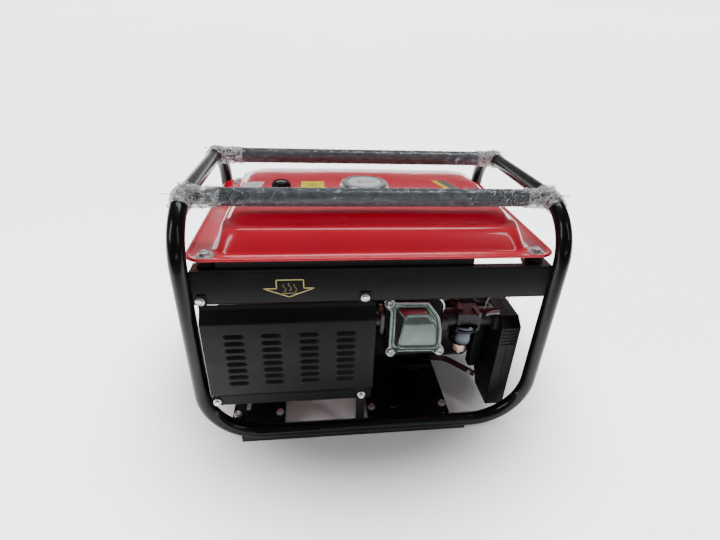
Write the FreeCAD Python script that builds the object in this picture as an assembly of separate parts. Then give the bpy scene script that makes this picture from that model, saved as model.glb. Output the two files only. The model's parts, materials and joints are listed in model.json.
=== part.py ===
import FreeCAD
import Part
import math
import os

# Open-frame portable generator, in millimetres. +X runs along the crankshaft towards the recoil
# starter, -Y is the muffler side, +Y the control side and +Z is up. The origin lies on the
# ground, in the middle of the overall box.

# Frame
LENGTH = 600.0
WIDTH = 440.0
HEIGHT = 440.0
TUBE_R = 12.5
TUBE_WALL = 1.5
FOOT_LIFT = 3.0                     # rubber between the bottom tubes and the ground
BOTTOM_BEND = 96.0                  # centreline radius of the lower corners
TOP_BEND = 84.0                     # centreline radius of the upper corners
JOINT_Z = 122.0                     # where bottom tubes and side arches are welded
BAR_R = 11.0
BAR_Y = 126.0
SLEEVE_R = 14.0
SLEEVE_HALF = 252.0
SHEET = 1.5
TANK_SHEET = 1.0

TUBE_X = LENGTH / 2 - TUBE_R
TUBE_Y = WIDTH / 2 - TUBE_R
LOW_Z = FOOT_LIFT + TUBE_R
TOP_Z = HEIGHT - TUBE_R
PLATE_Z = 28.0                      # top face of the cross plates
MOUNT_Z = 38.0                      # top of the vibration mounts, where engine and alternator stand

# Engine
CRANK_Z = 130.0
CYLINDER_TILT = 25.0                # the cylinder leans 25 degrees above level, towards -Y
CYLINDER_X = 72.0
BORE_R = 34.0
HEAD_BASE = 150.0                   # distances from the crank axis along the cylinder
HEAD_TOP = 182.0
COVER_TOP = 206.0
SHAFT_R = 12.5
RUNNING = 0.05                      # radial clearance of running fits
CLEAR = 0.3
BLOWER_R = 100.0
WHEEL_R = 80.0
PORT_Y = -140.0
PORT_Z = 205.0                      # axis of the intake and exhaust ports

# Alternator
STATOR_X0 = -196.0
STATOR_X1 = -96.0
STATOR_R = 88.0
ROTOR_R = 54.0

# Tank
TANK_LONG = 572.0
TANK_WIDE = 394.0
SEAM_Z = 354.0
TANK_TOP = 400.0
CAP_X = -5.0
CAP_Y = -6.0
GAUGE_X = -153.0
GAUGE_Y = -10.0

# Covers
PANEL_Y = 208.0
PANEL_LOW = 298.0
PANEL_HIGH = 342.0
LEDGE = 14.0                        # depth of the ledge along a panel's top edge
LEDGE_X = 232.0                     # beyond this it widens to carry the tank's corners
COVER_X0 = -269.0
COVER_X1 = -3.0
CONTROL_Y = 219.0

V = FreeCAD.Vector
X_AXIS = V(1, 0, 0)
Y_AXIS = V(0, 1, 0)
Z_AXIS = V(0, 0, 1)
ON_CYLINDER = FreeCAD.Placement(V(CYLINDER_X, 0, CRANK_Z), FreeCAD.Rotation(X_AXIS, 90 - CYLINDER_TILT))


def save(name, shape):
    """Write one node; a list of solids becomes one group."""
    if isinstance(shape, list):
        shape = Part.makeCompound(shape)
    solids = shape.Solids
    if not solids or not shape.isValid():
        raise ValueError(name + " is not a valid solid")
    shape = solids[0] if len(solids) == 1 else Part.makeCompound(solids)
    shape.exportStep("parts/" + name + ".step")
    size = shape.BoundBox
    print(f"{name:26s} solids {len(solids):3d}  volume {shape.Volume:12.0f}  "
          f"x {size.XMin:7.1f} {size.XMax:7.1f}  y {size.YMin:7.1f} {size.YMax:7.1f}  "
          f"z {size.ZMin:6.1f} {size.ZMax:6.1f}")


def block(x0, x1, y0, y1, z0, z1):
    return Part.makeBox(x1 - x0, y1 - y0, z1 - z0, V(x0, y0, z0))


def rod(start, along, radius, length):
    return Part.makeCylinder(radius, length, V(*start), along)


def ring(start, along, inner, outer, length):
    return rod(start, along, outer, length).cut(rod(start, along, inner, length))


def union(shapes):
    return shapes[0].multiFuse(shapes[1:]).removeSplitter()


def mirrored_y(shape):
    return shape.mirror(V(0, 0, 0), Y_AXIS)


def mirrored_x(shape):
    return shape.mirror(V(0, 0, 0), X_AXIS)


def rounded_outline(x0, x1, y0, y1, radius, z):
    """Closed level wire: a rectangle with round corners."""
    corners = [(x1 - radius, y0 + radius, -90), (x1 - radius, y1 - radius, 0),
               (x0 + radius, y1 - radius, 90), (x0 + radius, y0 + radius, 180)]
    edges = []
    ends = []
    for cx, cy, first in corners:
        points = [V(cx + radius * math.cos(math.radians(first + turn)),
                    cy + radius * math.sin(math.radians(first + turn)), z) for turn in (0, 45, 90)]
        edges.append(Part.Arc(*points).toShape())
        ends.append((points[0], points[2]))
    for index in range(4):
        edges.append(Part.LineSegment(ends[index][1], ends[(index + 1) % 4][0]).toShape())
    return Part.Wire(Part.__sortEdges__(edges))


def rounded_slab(x0, x1, y0, y1, radius, z0, z1):
    face = Part.Face(rounded_outline(x0, x1, y0, y1, radius, z0))
    return face.extrude(V(0, 0, z1 - z0))


def prism_x(outline, x0, x1):
    """Solid whose section in Y and Z is the outline, from x0 to x1."""
    points = [V(x0, y, z) for y, z in outline]
    face = Part.Face(Part.makePolygon(points + [points[0]]))
    return face.extrude(V(x1 - x0, 0, 0))


def bent_path(points, radii):
    """Wire of straight runs joined by tangent arcs, one radius for each inner point."""
    points = [V(*point) for point in points]
    edges = []
    start = points[0]
    for index, radius in enumerate(radii):
        corner = points[index + 1]
        back = (points[index] - corner).normalize()
        ahead = (points[index + 2] - corner).normalize()
        half = back.getAngle(ahead) / 2
        reach = radius / math.tan(half)
        middle = (back + ahead).normalize() * (radius / math.sin(half) - radius)
        first = corner + back * reach
        last = corner + ahead * reach
        if (first - start).Length > 1e-6:
            edges.append(Part.LineSegment(start, first).toShape())
        edges.append(Part.Arc(first, corner + middle, last).toShape())
        start = last
    if (points[-1] - start).Length > 1e-6:
        edges.append(Part.LineSegment(start, points[-1]).toShape())
    return Part.Wire(edges)


def swept(path, radius):
    """Round bar along a path, checked against its section times its length."""
    first = path.OrderedEdges[0]
    start = first.valueAt(first.FirstParameter)
    along = first.tangentAt(first.FirstParameter)
    if (start - path.OrderedVertexes[0].Point).Length > 1e-6:
        start = path.OrderedVertexes[0].Point
        along = first.tangentAt(first.LastParameter) * -1
    section = Part.Wire(Part.makeCircle(radius, start, along))
    bar = path.makePipeShell([section], True, False)
    expected = math.pi * radius ** 2 * path.Length
    if abs(bar.Volume - expected) > 0.01 * expected:
        raise ValueError("swept volume %.0f, expected %.0f" % (bar.Volume, expected))
    return bar


def hollow(path, radius, wall):
    return swept(path, radius).cut(swept(path, radius - wall))


def bolt(x, y, z, along, shank_r, length, head_r, head, washer_r=0.0):
    """Hexagon bolt with its head's underside at the point, and its head on the +along side."""
    start = V(x, y, z)
    corners = [V(head_r * math.cos(math.radians(60 * step)), head_r * math.sin(math.radians(60 * step)), 0)
               for step in range(7)]
    hexagon = Part.Face(Part.makePolygon(corners)).extrude(V(0, 0, head))
    pieces = [hexagon, Part.makeCylinder(shank_r, length + 0.5, V(0, 0, -length))]
    if washer_r:
        pieces.append(Part.makeCylinder(washer_r, SHEET, V(0, 0, -SHEET)))
    whole = union(pieces)
    whole.Placement = FreeCAD.Placement(start, FreeCAD.Rotation(Z_AXIS, along))
    return whole


# ---------------------------------------------------------------- frame
def bottom_path():
    return bent_path([(-TUBE_X, -TUBE_Y, JOINT_Z), (-TUBE_X, -TUBE_Y, LOW_Z),
                      (TUBE_X, -TUBE_Y, LOW_Z), (TUBE_X, -TUBE_Y, JOINT_Z)], [BOTTOM_BEND, BOTTOM_BEND])


def arch_path():
    return bent_path([(-TUBE_X, -TUBE_Y, JOINT_Z), (-TUBE_X, -TUBE_Y, TOP_Z),
                      (-TUBE_X, TUBE_Y, TOP_Z), (-TUBE_X, TUBE_Y, JOINT_Z)], [TOP_BEND, TOP_BEND])


FOOT_X = (-232.0, 180.0)            # ends of the two rubber strips
FOOT_HALF = 9.0
PLATE_LEFT = (-251.0, -157.0)
PLATE_RIGHT = (-4.0, 151.0)
MOUNT_X = (-204.0, 106.0)           # vibration mounts under alternator and engine
MOUNT_Y = 62.0
SCREW_X = (-265.0, -20.5)
SCREW_TOP_Z = 295.0
SCREW_LOW_Z = 94.0
TANK_BOLT = (256.0, 180.0)


def frame_parts():
    front = hollow(bottom_path(), TUBE_R, TUBE_WALL)
    save("frame_front_tube", front)
    save("frame_rear_tube", mirrored_y(front))
    solid_arch = swept(arch_path(), TUBE_R)
    left = hollow(arch_path(), TUBE_R, TUBE_WALL)
    save("frame_left_arch", left)
    save("frame_right_arch", mirrored_x(left))

    bars = []
    sleeves = []
    wraps = []
    arches = [solid_arch, mirrored_x(solid_arch)]
    for side in (-1, 1):
        centre = (-TUBE_X, side * BAR_Y, TOP_Z - 1.0)
        bar = ring(centre, X_AXIS, BAR_R - TUBE_WALL, BAR_R, 2 * TUBE_X).cut(arches[0]).cut(arches[1])
        bars.append(max(bar.Solids, key=lambda solid: solid.Volume))
        sleeves.append(ring((-SLEEVE_HALF, centre[1], centre[2]), X_AXIS, BAR_R + 0.2, SLEEVE_R,
                            2 * SLEEVE_HALF))
        for start in (-274.0, SLEEVE_HALF + 0.5):
            wraps.append(ring((start, centre[1], centre[2]), X_AXIS, BAR_R + 0.2, SLEEVE_R + 2.0,
                              274.0 - SLEEVE_HALF - 0.5))
    save("handle_bars", bars)
    save("bar_sleeves", sleeves)
    save("film_wraps", wraps)


def foot_parts():
    """Rubber strips, cross plates; returns the rubber blocks and the bolts that hold the plates."""
    plates = []
    mounts = []
    bolts = []
    tubes = [swept(bottom_path(), TUBE_R + 0.05)]
    tubes.append(mirrored_y(tubes[0]))
    strips = []
    for side, tube in zip((-1, 1), tubes):
        y = side * TUBE_Y
        strip = block(FOOT_X[0], FOOT_X[1], y - FOOT_HALF, y + FOOT_HALF, 0, LOW_Z - 4)
        strips.append(strip.cut(tube))
    save("rubber_feet", strips)
    for (x0, x1), mount_x in zip((PLATE_LEFT, PLATE_RIGHT), MOUNT_X):
        reach = TUBE_Y - TUBE_R + 4.0
        lip = 16.0
        plate = block(x0, x1, -reach, reach, PLATE_Z - 3, PLATE_Z)
        for edge in (x0, x1 - 3):
            plate = plate.fuse(block(edge, edge + 3, -reach, reach, PLATE_Z - lip, PLATE_Z))
        plate = plate.removeSplitter().cut(tubes[0]).cut(tubes[1])
        for y in (-MOUNT_Y, MOUNT_Y):
            mounts.append(ring((mount_x, y, PLATE_Z), Z_AXIS, 4.2, 20.0, MOUNT_Z - PLATE_Z))
            bolts.append(bolt(mount_x, y, PLATE_Z - 3, Z_AXIS * -1, 4.0, 20.0, 7.5, 5.0))
            plate = plate.cut(rod((mount_x, y, PLATE_Z - 5), Z_AXIS, 4.2, 8))
        for x in (x0 + 9.0, x1 - 9.0):
            for y in (-178.0, 178.0):
                bolts.append(bolt(x, y, PLATE_Z + SHEET, Z_AXIS, 3.0, 8.0, 5.5, 4.0, 7.5))
                plate = plate.cut(rod((x, y, PLATE_Z - 5), Z_AXIS, 3.2, 8))
        plates.append(plate)
    plates[0] = plates[0].cut(block(-229, -221, -168, -100, PLATE_Z - 5, PLATE_Z + 5))
    plates[1] = plates[1].cut(block(41, 61, -182, -174, PLATE_Z - 5, PLATE_Z + 5))
    strap_x = SCREW_X[1]
    strap = block(strap_x - 8, strap_x + 8, -PANEL_Y, -PANEL_Y + 2, LOW_Z + 6, SCREW_LOW_Z + 9)
    tab = block(-284, SCREW_X[0] + 8, -PANEL_Y, -PANEL_Y + 2, SCREW_LOW_Z - 8, SCREW_LOW_Z + 9)
    for piece, x in ((strap, strap_x), (tab, SCREW_X[0])):
        piece = piece.cut(rod((x, -PANEL_Y - 3, SCREW_LOW_Z), Y_AXIS, 3.3, 10)).cut(tubes[0])
        plates.append(max(piece.Solids, key=lambda solid: solid.Volume))
    save("cross_members", plates)
    for x in SCREW_X:
        for z in (SCREW_TOP_Z, SCREW_LOW_Z):
            bolts.append(bolt(x, -PANEL_Y - 2 * SHEET - 0.2, z, Y_AXIS * -1, 3.0, 9.0, 6.0, 3.5, 7.0))
    return mounts, bolts


# ---------------------------------------------------------------- panels and muffler
def panel_parts():
    depth = 31.0
    front = block(-275, 275, -PANEL_Y, -PANEL_Y + SHEET, PANEL_LOW - 10, PANEL_HIGH)
    front = front.fuse(block(-275, 275, -PANEL_Y, -PANEL_Y + depth, PANEL_HIGH - SHEET, PANEL_HIGH))
    front = front.cut(block(-LEDGE_X, LEDGE_X, -PANEL_Y + LEDGE, 0, PANEL_HIGH - 3, PANEL_HIGH + 1))
    for x in SCREW_X:
        front = front.cut(rod((x, -PANEL_Y - 2, SCREW_TOP_Z), Y_AXIS, 3.3, 6))
    for x in (-TANK_BOLT[0], TANK_BOLT[0]):
        front = front.cut(rod((x, -TANK_BOLT[1], PANEL_HIGH - 3), Z_AXIS, 4.2, 6))
    save("front_panel", front.removeSplitter())

    out = 224.0
    face_low, face_high = 122.0, 263.0
    near = PANEL_Y + SHEET + 0.1
    outline = [(-near, SCREW_TOP_Z + 10), (-near, face_high + 16), (-out, face_high), (-out, face_low),
               (-near, face_low - 16), (-near, SCREW_LOW_Z - 8)]
    inner = [(y + SHEET, z) for y, z in reversed(outline)]
    inner[1:5] = [(-near + SHEET, face_low - 15.4), (-out + SHEET, face_low + 0.6),
                  (-out + SHEET, face_high - 0.6), (-near + SHEET, face_high + 15.4)]
    cover = prism_x(outline + inner, COVER_X0, COVER_X1)
    edge = PANEL_LOW - 10 - CLEAR
    for x0, x1 in ((SCREW_X[0] + 9, SCREW_X[1] - 9), (SCREW_X[1] + 9, COVER_X1 + 1)):
        cover = cover.cut(block(x0, x1, -near - 1, -PANEL_Y, edge, SCREW_TOP_Z + 11))
    for x in SCREW_X:
        for z in (SCREW_TOP_Z, SCREW_LOW_Z):
            cover = cover.cut(rod((x, -out, z), Y_AXIS, 3.3, 30))
    slots = []
    for column in (-222.0, -166.0, -108.0, -50.0):
        for row in range(8):
            z = 143.0 + row * 13.3
            slots.append(block(column - 15.5, column + 15.5, -out - 1, -out + 3, z - 2.2, z + 2.2))
    save("muffler_cover", cover.cut(Part.makeCompound(slots)))


def muffler_parts():
    x0, x1 = -256.0, -24.0
    y0, y1, z0, z1 = -214.0, -112.0, 126.0, 250.0
    shell = rounded_slab(-z1, -z0, y0, y1, 44, x0, x1)
    inside = rounded_slab(-z1 + SHEET, -z0 - SHEET, y0 + SHEET, y1 - SHEET, 42.5, x0 + SHEET, x1 - SHEET)
    turn = FreeCAD.Placement(V(0, 0, 0), FreeCAD.Rotation(Y_AXIS, 90))
    shell.Placement = turn
    inside.Placement = turn
    outlet = rod((x0 - 8, -163, 220), X_AXIS, 11, 12)
    muffler = shell.fuse(outlet).cut(inside).cut(rod((x0 - 9, -163, 220), X_AXIS, 9.5, 12))
    muffler = muffler.cut(rod((x1 - 3, PORT_Y, PORT_Z), X_AXIS, 12.5, 6))
    save("muffler", muffler)

    flange = rounded_slab(-PORT_Z - 24, -PORT_Z + 24, PORT_Y - 18, PORT_Y + 18, 8, 15.5, 21.5)
    flange.Placement = turn
    pipe = rod((x1 - 6, PORT_Y, PORT_Z), X_AXIS, 12.4, 21.5 - x1 + 6).fuse(flange)
    pipe = pipe.cut(rod((x1 - 7, PORT_Y, PORT_Z), X_AXIS, 10.9, 60))
    save("exhaust_pipe", pipe)


# ---------------------------------------------------------------- tank
def tank_body(grow):
    """Upper body of the tank; grow is how far its wall is moved outwards."""
    levels = [(245.0, 178.0, 27.0, SEAM_Z - 1), (240.0, 168.0, 32.0, SEAM_Z + 20),
              (233.0, 152.0, 36.0, SEAM_Z + 38), (212.0, 132.0, 42.0, TANK_TOP)]
    wires = []
    for half_x, half_y, corner, z in levels:
        lift = grow if z == TANK_TOP else 0.0
        wires.append(rounded_outline(-half_x - grow, half_x + grow, -half_y - grow, half_y + grow,
                                     corner + grow, z + lift))
    return Part.makeLoft(wires, True, True)


def dish_outline(margin, z):
    """Outline of the tank's lower half at a height, its margin in from the seam."""
    x0, x1, half_y, corner = DISH
    return rounded_outline(x0 + margin, x1 - margin, -half_y + margin, half_y - margin, corner, z)


def tank_parts(rubbers, bolts):
    """Tank shells, cap and gasket; the tank's rubber blocks and bolts join the given ones."""
    flange = rounded_slab(-TANK_LONG / 2, TANK_LONG / 2, -TANK_WIDE / 2, TANK_WIDE / 2, 26,
                          SEAM_Z, SEAM_Z + TANK_SHEET)
    neck = rod((CAP_X, CAP_Y, TANK_TOP - 6), Z_AXIS, 29.0, 14)
    upper = flange.fuse(tank_body(0.0)).cut(block(-300, 300, -220, 220, SEAM_Z - 5, SEAM_Z))
    upper = upper.cut(tank_body(-TANK_SHEET)).fuse(neck)
    upper = upper.cut(rod((CAP_X, CAP_Y, TANK_TOP - 8), Z_AXIS, 26.5, 20))
    upper = upper.cut(rod((GAUGE_X, GAUGE_Y, TANK_TOP - 8), Z_AXIS, 9.2, 20))
    lower = rounded_slab(-TANK_LONG / 2, TANK_LONG / 2, -TANK_WIDE / 2, TANK_WIDE / 2, 26,
                         SEAM_Z - TANK_SHEET, SEAM_Z)
    low = DISH_Z
    wires = []
    inner = []
    for margin, z in ((0.0, SEAM_Z - TANK_SHEET), (14.0, low)):
        wires.append(dish_outline(margin, z))
        inner.append(dish_outline(margin + TANK_SHEET, z + TANK_SHEET))
    lower = lower.fuse(Part.makeLoft(wires, True, True))
    lower = lower.cut(Part.makeLoft(inner, True, True))
    lower = lower.cut(rod((TAP_X, TAP_Y, low - 5), Z_AXIS, 3.0, 10))
    for side_x in (-1, 1):
        for side_y in (-1, 1):
            x = side_x * TANK_BOLT[0]
            y = side_y * TANK_BOLT[1]
            hole = rod((x, y, SEAM_Z - 4), Z_AXIS, 4.2, 8)
            upper = upper.cut(hole)
            lower = lower.cut(hole)
            bolts.append(bolt(x, y, SEAM_Z + TANK_SHEET + SHEET, Z_AXIS, 4.0, 24, 7.5, 5.5, 13.5))
            rubbers.append(ring((x, y, PANEL_HIGH), Z_AXIS, 4.2, 14, SEAM_Z - TANK_SHEET - PANEL_HIGH))
    save("tank_upper_shell", upper.removeSplitter())
    save("tank_lower_shell", lower.removeSplitter())
    save("frame_screws", bolts)
    save("rubber_mounts", rubbers)

    gasket_z = TANK_TOP + 8
    save("cap_gasket", ring((CAP_X, CAP_Y, gasket_z), Z_AXIS, 27, 36, 2))
    cap = rod((CAP_X, CAP_Y, TANK_TOP + 2.5), Z_AXIS, 44.5, gasket_z + 7 - TANK_TOP - 2.5)
    cap = cap.cut(rod((CAP_X, CAP_Y, TANK_TOP + 2), Z_AXIS, 40.5, gasket_z + CLEAR + 2 - TANK_TOP - 2))
    rim = [edge for edge in cap.Edges if edge.BoundBox.ZMin > gasket_z + 6]
    save("fuel_cap", cap.makeFillet(3.5, rim))


DISH = (-222.0, 150.0, 160.0, 36.0)     # lower half at the seam: x from, x to, half width, corner
DISH_Z = 312.0
PIVOT_Z = 370.0
FLOAT_ARM = 50.0


def gauge_parts():
    housing = rod((GAUGE_X, GAUGE_Y, TANK_TOP), Z_AXIS, 15.5, 13).fuse(
        rod((GAUGE_X, GAUGE_Y, TANK_TOP - 4), Z_AXIS, 9, 5))
    housing = housing.fuse(rod((GAUGE_X, GAUGE_Y, PIVOT_Z - 6), Z_AXIS, 5, TANK_TOP - PIVOT_Z + 3))
    housing = housing.cut(rod((GAUGE_X, GAUGE_Y, TANK_TOP + 4), Z_AXIS, 13.5, 10))
    housing = housing.cut(rod((GAUGE_X, GAUGE_Y - 8, PIVOT_Z), Y_AXIS, 1.5 + RUNNING, 16))
    save("gauge_housing", housing.removeSplitter())
    needle = block(GAUGE_X - 10, GAUGE_X + 3, GAUGE_Y - 1, GAUGE_Y + 1, TANK_TOP + 5, TANK_TOP + 6)
    needle = needle.fuse(rod((GAUGE_X, GAUGE_Y, TANK_TOP + 4.4), Z_AXIS, 2.4, 2.2))
    save("gauge_needle", needle.removeSplitter())
    arm = rod((GAUGE_X, GAUGE_Y - 7, PIVOT_Z), Y_AXIS, 1.5, 15)
    slope = V(math.cos(math.radians(45)), 0, -math.sin(math.radians(45)))
    start = (GAUGE_X, GAUGE_Y + 7, PIVOT_Z)
    arm = arm.fuse(Part.makeSphere(1.5, V(*start))).fuse(rod(start, slope, 1.5, FLOAT_ARM))
    centre = V(*start) + slope * FLOAT_ARM
    arm = arm.fuse(rod((centre.x, centre.y - 10, centre.z), Y_AXIS, 11, 20))
    save("gauge_float", arm)


TAP_X = 134.0
TAP_Y = -60.0
TAP_Z = 288.0
HOSE_R = 4.0
HOSE_ROUTE = [(TAP_X, TAP_Y, 276), (TAP_X, TAP_Y, 248), (142, -74, 224), (160, -96, 207), (172, -118.0, 199)]


def round_radii(points):
    """The radius at each inner point: 0.45 of its shorter run over the tangent of half the turn."""
    radii = []
    vectors = [V(*point) for point in points]
    for before, corner, after in zip(vectors, vectors[1:], vectors[2:]):
        back = before - corner
        ahead = after - corner
        turn = math.pi - back.getAngle(ahead)
        radii.append(0.45 * min(back.Length, ahead.Length) / math.tan(turn / 2))
    return radii


def fuel_line():
    body = rod((TAP_X, TAP_Y, TAP_Z - 8), Z_AXIS, 9, 20).fuse(rod((TAP_X, TAP_Y, TAP_Z + 10), Z_AXIS, 6, 14))
    body = body.fuse(rod((TAP_X, TAP_Y - 14, TAP_Z), Y_AXIS, 7, 14))
    body = body.cut(rod((TAP_X, TAP_Y, TAP_Z - 20), Z_AXIS, 2.5, 50))
    nipple = ring((TAP_X, TAP_Y, 276), Z_AXIS, 2.5, 4.0, TAP_Z - 8 - 276)
    save("fuel_tap", body.fuse(nipple).removeSplitter())
    lever = rod((TAP_X, TAP_Y - 18.3, TAP_Z), Y_AXIS, 7, 4)
    lever = lever.fuse(block(TAP_X, TAP_X + 26, TAP_Y - 18.3, TAP_Y - 15.3, TAP_Z - 3, TAP_Z + 3))
    save("fuel_tap_lever", lever.removeSplitter())
    radii = round_radii(HOSE_ROUTE)
    print("fuel hose radii", [round(radius, 1) for radius in radii])
    save("fuel_hose", swept(bent_path(HOSE_ROUTE, radii), HOSE_R))


# ---------------------------------------------------------------- engine
DECK = 82.0                         # where the finned barrel stands on the crankcase


def cylinder_bore():
    bore = Part.makeCylinder(BORE_R, HEAD_BASE - 30, V(0, 0, 32))
    bore.Placement = ON_CYLINDER
    return bore


def cylinder_barrel():
    barrel = block(-44, 44, -44, 44, DECK, HEAD_BASE)
    for fin in range(9):
        z = DECK + 4 + fin * 7.2
        groove = block(-60, 60, -60, 60, z, z + 4.2).cut(block(-37, 37, -37, 37, z - 1, z + 6))
        barrel = barrel.cut(groove)
    barrel.Placement = ON_CYLINDER
    return barrel.cut(cylinder_bore())


def crankcase():
    case = block(10, 118, -70, 76, MOUNT_Z + 8, 196)
    upright = [edge for edge in case.Edges if edge.BoundBox.XLength > 100]
    case = case.makeFillet(22, upright)
    case = case.fuse(block(66, 142, -84, 84, MOUNT_Z, MOUNT_Z + 9))
    case = case.fuse(rod(DIP, DIP_AXIS * -1, 13.5, 30))
    case = case.fuse(block(20, 70, -60, 60, MOUNT_Z + 2, MOUNT_Z + 12))
    deck = block(-44, 44, -44, 44, 40, DECK)
    deck.Placement = ON_CYLINDER
    case = case.fuse(deck)
    case = case.cut(cylinder_bore()).cut(rod((24, 0, CRANK_Z), X_AXIS, 61, 80))
    case = case.cut(rod((5, 0, CRANK_Z), X_AXIS, 17, 120))
    for x in (10, 106):
        case = case.cut(rod((x, 0, CRANK_Z), X_AXIS, 26, 12))
    case = case.cut(rod(DIP, DIP_AXIS * -1, 6.2, 70))
    for y in (-MOUNT_Y, MOUNT_Y):
        case = case.cut(rod((MOUNT_X[1], y, MOUNT_Z - 2), Z_AXIS, 4.2, 14))
    return case.removeSplitter()


DIP_AXIS = V(0, math.cos(math.radians(30)), math.sin(math.radians(30)))
DIP = (52.0, 84.0, 92.0)


def head_outline(grow):
    """Outline of the valve cover in the cylinder's cross plane, chamfered at its upper right."""
    points = [(-46, -46), (48, -48), (48, 12), (26, 42), (-43, 42)]
    centre = V(1, -3, 0)
    wire = [V(x, y, 0) - centre for x, y in points]
    return [point * grow + centre for point in wire]


COVER_BOLTS = ((-43, 40), (-42, -44), (45, -45))


def head_parts():
    head = block(-48, 50, -50, 46, HEAD_BASE + 0.2, HEAD_TOP)
    for fin in range(3):
        z = HEAD_BASE + 7 + fin * 8.0
        head = head.cut(block(-60, 60, -60, 60, z, z + 4.0).cut(block(-39, 39, -39, 39, z - 1, z + 6)))
    for x, y in COVER_BOLTS:
        head = head.cut(Part.makeCylinder(3.2, 14, V(x, y, HEAD_TOP - 12)))
    head.Placement = ON_CYLINDER
    for start in (21.7, 116.0):
        head = head.fuse(rod((start, PORT_Y, PORT_Z), X_AXIS, 19, 6))
    head = head.cut(rod((10, PORT_Y, PORT_Z), X_AXIS, 11, 50)).cut(rod((90, PORT_Y, PORT_Z), X_AXIS, 11, 50))
    head = head.cut(rod(PLUG, PLUG_AXIS * -1, 7.05, 20)).cut(rod(PLUG, PLUG_AXIS, 12, 30))
    save("cylinder_head", max(head.Solids, key=lambda solid: solid.Volume))

    rim = Part.Face(Part.makePolygon(head_outline(1.0) + [head_outline(1.0)[0]])).extrude(V(0, 0, 7))
    rim.translate(V(0, 0, HEAD_TOP + 0.2))
    upright = [edge for edge in rim.Edges if edge.BoundBox.ZLength > 6]
    rim = rim.makeFillet(6, upright)
    low = Part.makePolygon(head_outline(0.80) + [head_outline(0.80)[0]])
    low.translate(V(0, 0, HEAD_TOP + 7))
    high = Part.makePolygon(head_outline(0.64) + [head_outline(0.64)[0]])
    high.translate(V(0, 0, COVER_TOP))
    dome = Part.makeLoft([low, high], True, True)
    cover = rim.fuse(dome)
    bolts = []
    for x, y in COVER_BOLTS:
        cover = cover.fuse(Part.makeCylinder(8.5, 7, V(x, y, HEAD_TOP + 0.2)))
        cover = cover.cut(Part.makeCylinder(3.3, 12, V(x, y, HEAD_TOP - 1)))
        bolts.append(bolt(x, y, HEAD_TOP + 7.4, Z_AXIS, 3.0, 15.0, 5.0, 4.5))
    cover.Placement = ON_CYLINDER
    save("valve_cover", cover.removeSplitter())
    group = Part.makeCompound(bolts)
    group.Placement = ON_CYLINDER
    save("valve_cover_bolts", group)


PLUG = (112.0, -134.0, 236.0)
PLUG_AXIS = V(0.80, -0.09, 0.59).normalize()
LEAD_ROUTE = [(0, 0, 0), (0, 0, 0), (174, -134, 274), (176, -108, 272), (174, -84, 250), (168, -58, 217)]


def ignition_parts():
    start = V(*PLUG)
    plug = Part.makeCylinder(7, 18, start - PLUG_AXIS * 18, PLUG_AXIS)
    plug = plug.fuse(Part.makeCylinder(10.5, 9, start, PLUG_AXIS))
    plug = plug.fuse(Part.makeCylinder(5.5, 24, start + PLUG_AXIS * 9, PLUG_AXIS))
    save("spark_plug", plug.removeSplitter())
    mouth = start + PLUG_AXIS * 14
    boot = Part.makeCylinder(9.5, 34, mouth, PLUG_AXIS).cut(Part.makeCylinder(5.6, 20, mouth, PLUG_AXIS))
    route = list(LEAD_ROUTE)
    leave = mouth + PLUG_AXIS * 30
    bend = leave + PLUG_AXIS * 16
    route[0] = tuple(leave)
    route[1] = tuple(bend)
    lead = swept(bent_path(route, round_radii(route)), 3.5)
    save("plug_boot", boot.fuse(lead).removeSplitter())


def carburettor_parts():
    turn = FreeCAD.Placement(V(0, 0, 0), FreeCAD.Rotation(Y_AXIS, 90))
    body = rod((122.2, PORT_Y, PORT_Z), X_AXIS, 17, 105.5)
    for x0, x1 in ((122.2, 134), (220, 227.7)):
        flange = rounded_slab(-PORT_Z - 16, -PORT_Z + 16, PORT_Y - 27, PORT_Y + 27, 8, x0, x1)
        flange.Placement = turn
        body = body.fuse(flange)
    body = body.fuse(block(154, 197, -160, -122, 186, 222))
    body = body.fuse(rod((BOWL_X, PORT_Y, 184.2), Z_AXIS, 26.5, 5))
    arrival = V(*HOSE_ROUTE[-1]) - V(*HOSE_ROUTE[-2])
    body = body.fuse(rod(HOSE_ROUTE[-1], arrival, 3.0, 7))
    body = body.cut(rod((120, PORT_Y, PORT_Z), X_AXIS, 11, 110))
    for x in (CHOKE_X, THROTTLE_X):
        body = body.cut(rod((x, PORT_Y, PORT_Z), Z_AXIS, 2.5 + RUNNING, 25))
    save("carburettor_body", body.removeSplitter())
    bowl = rod((BOWL_X, PORT_Y, 152), Z_AXIS, 23.5, 32).fuse(rod((BOWL_X, PORT_Y, 179), Z_AXIS, 26.5, 5))
    low = [edge for edge in bowl.Edges if edge.BoundBox.ZMax < 153]
    bowl = bowl.makeFillet(5, low)
    bowl = bowl.cut(rod((BOWL_X, PORT_Y, 155), Z_AXIS, 21.5, 35))
    save("carb_bowl", bowl)
    solenoid = rod((BOWL_X, PORT_Y, 130), Z_AXIS, 12, 21.8).fuse(rod((BOWL_X, PORT_Y, 122), Z_AXIS, 5, 9))
    save("fuel_solenoid", solenoid)
    levers = []
    for x, reach in ((CHOKE_X, -26), (THROTTLE_X, 22)):
        arm = rod((x, PORT_Y, PORT_Z - 4), Z_AXIS, 2.5, 24)
        arm = arm.fuse(rod((x, PORT_Y, 222.5), Z_AXIS, 6, 2.5))
        near, far = sorted((PORT_Y, PORT_Y + reach))
        arm = arm.fuse(block(x - 3.5, x + 3.5, near, far, 222.5, 225))
        arm = arm.fuse(rod((x, PORT_Y + reach, 222.5), Z_AXIS, 3.5, 7))
        levers.append(arm.removeSplitter())
    save("choke_lever", levers[0])
    save("throttle_lever", levers[1])


BOWL_X = 173.0
CHOKE_X = 190.0
THROTTLE_X = 162.0
CLEANER_Y = (-184.0, -92.0)
CLEANER_Z = (26.0, 222.0)


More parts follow.
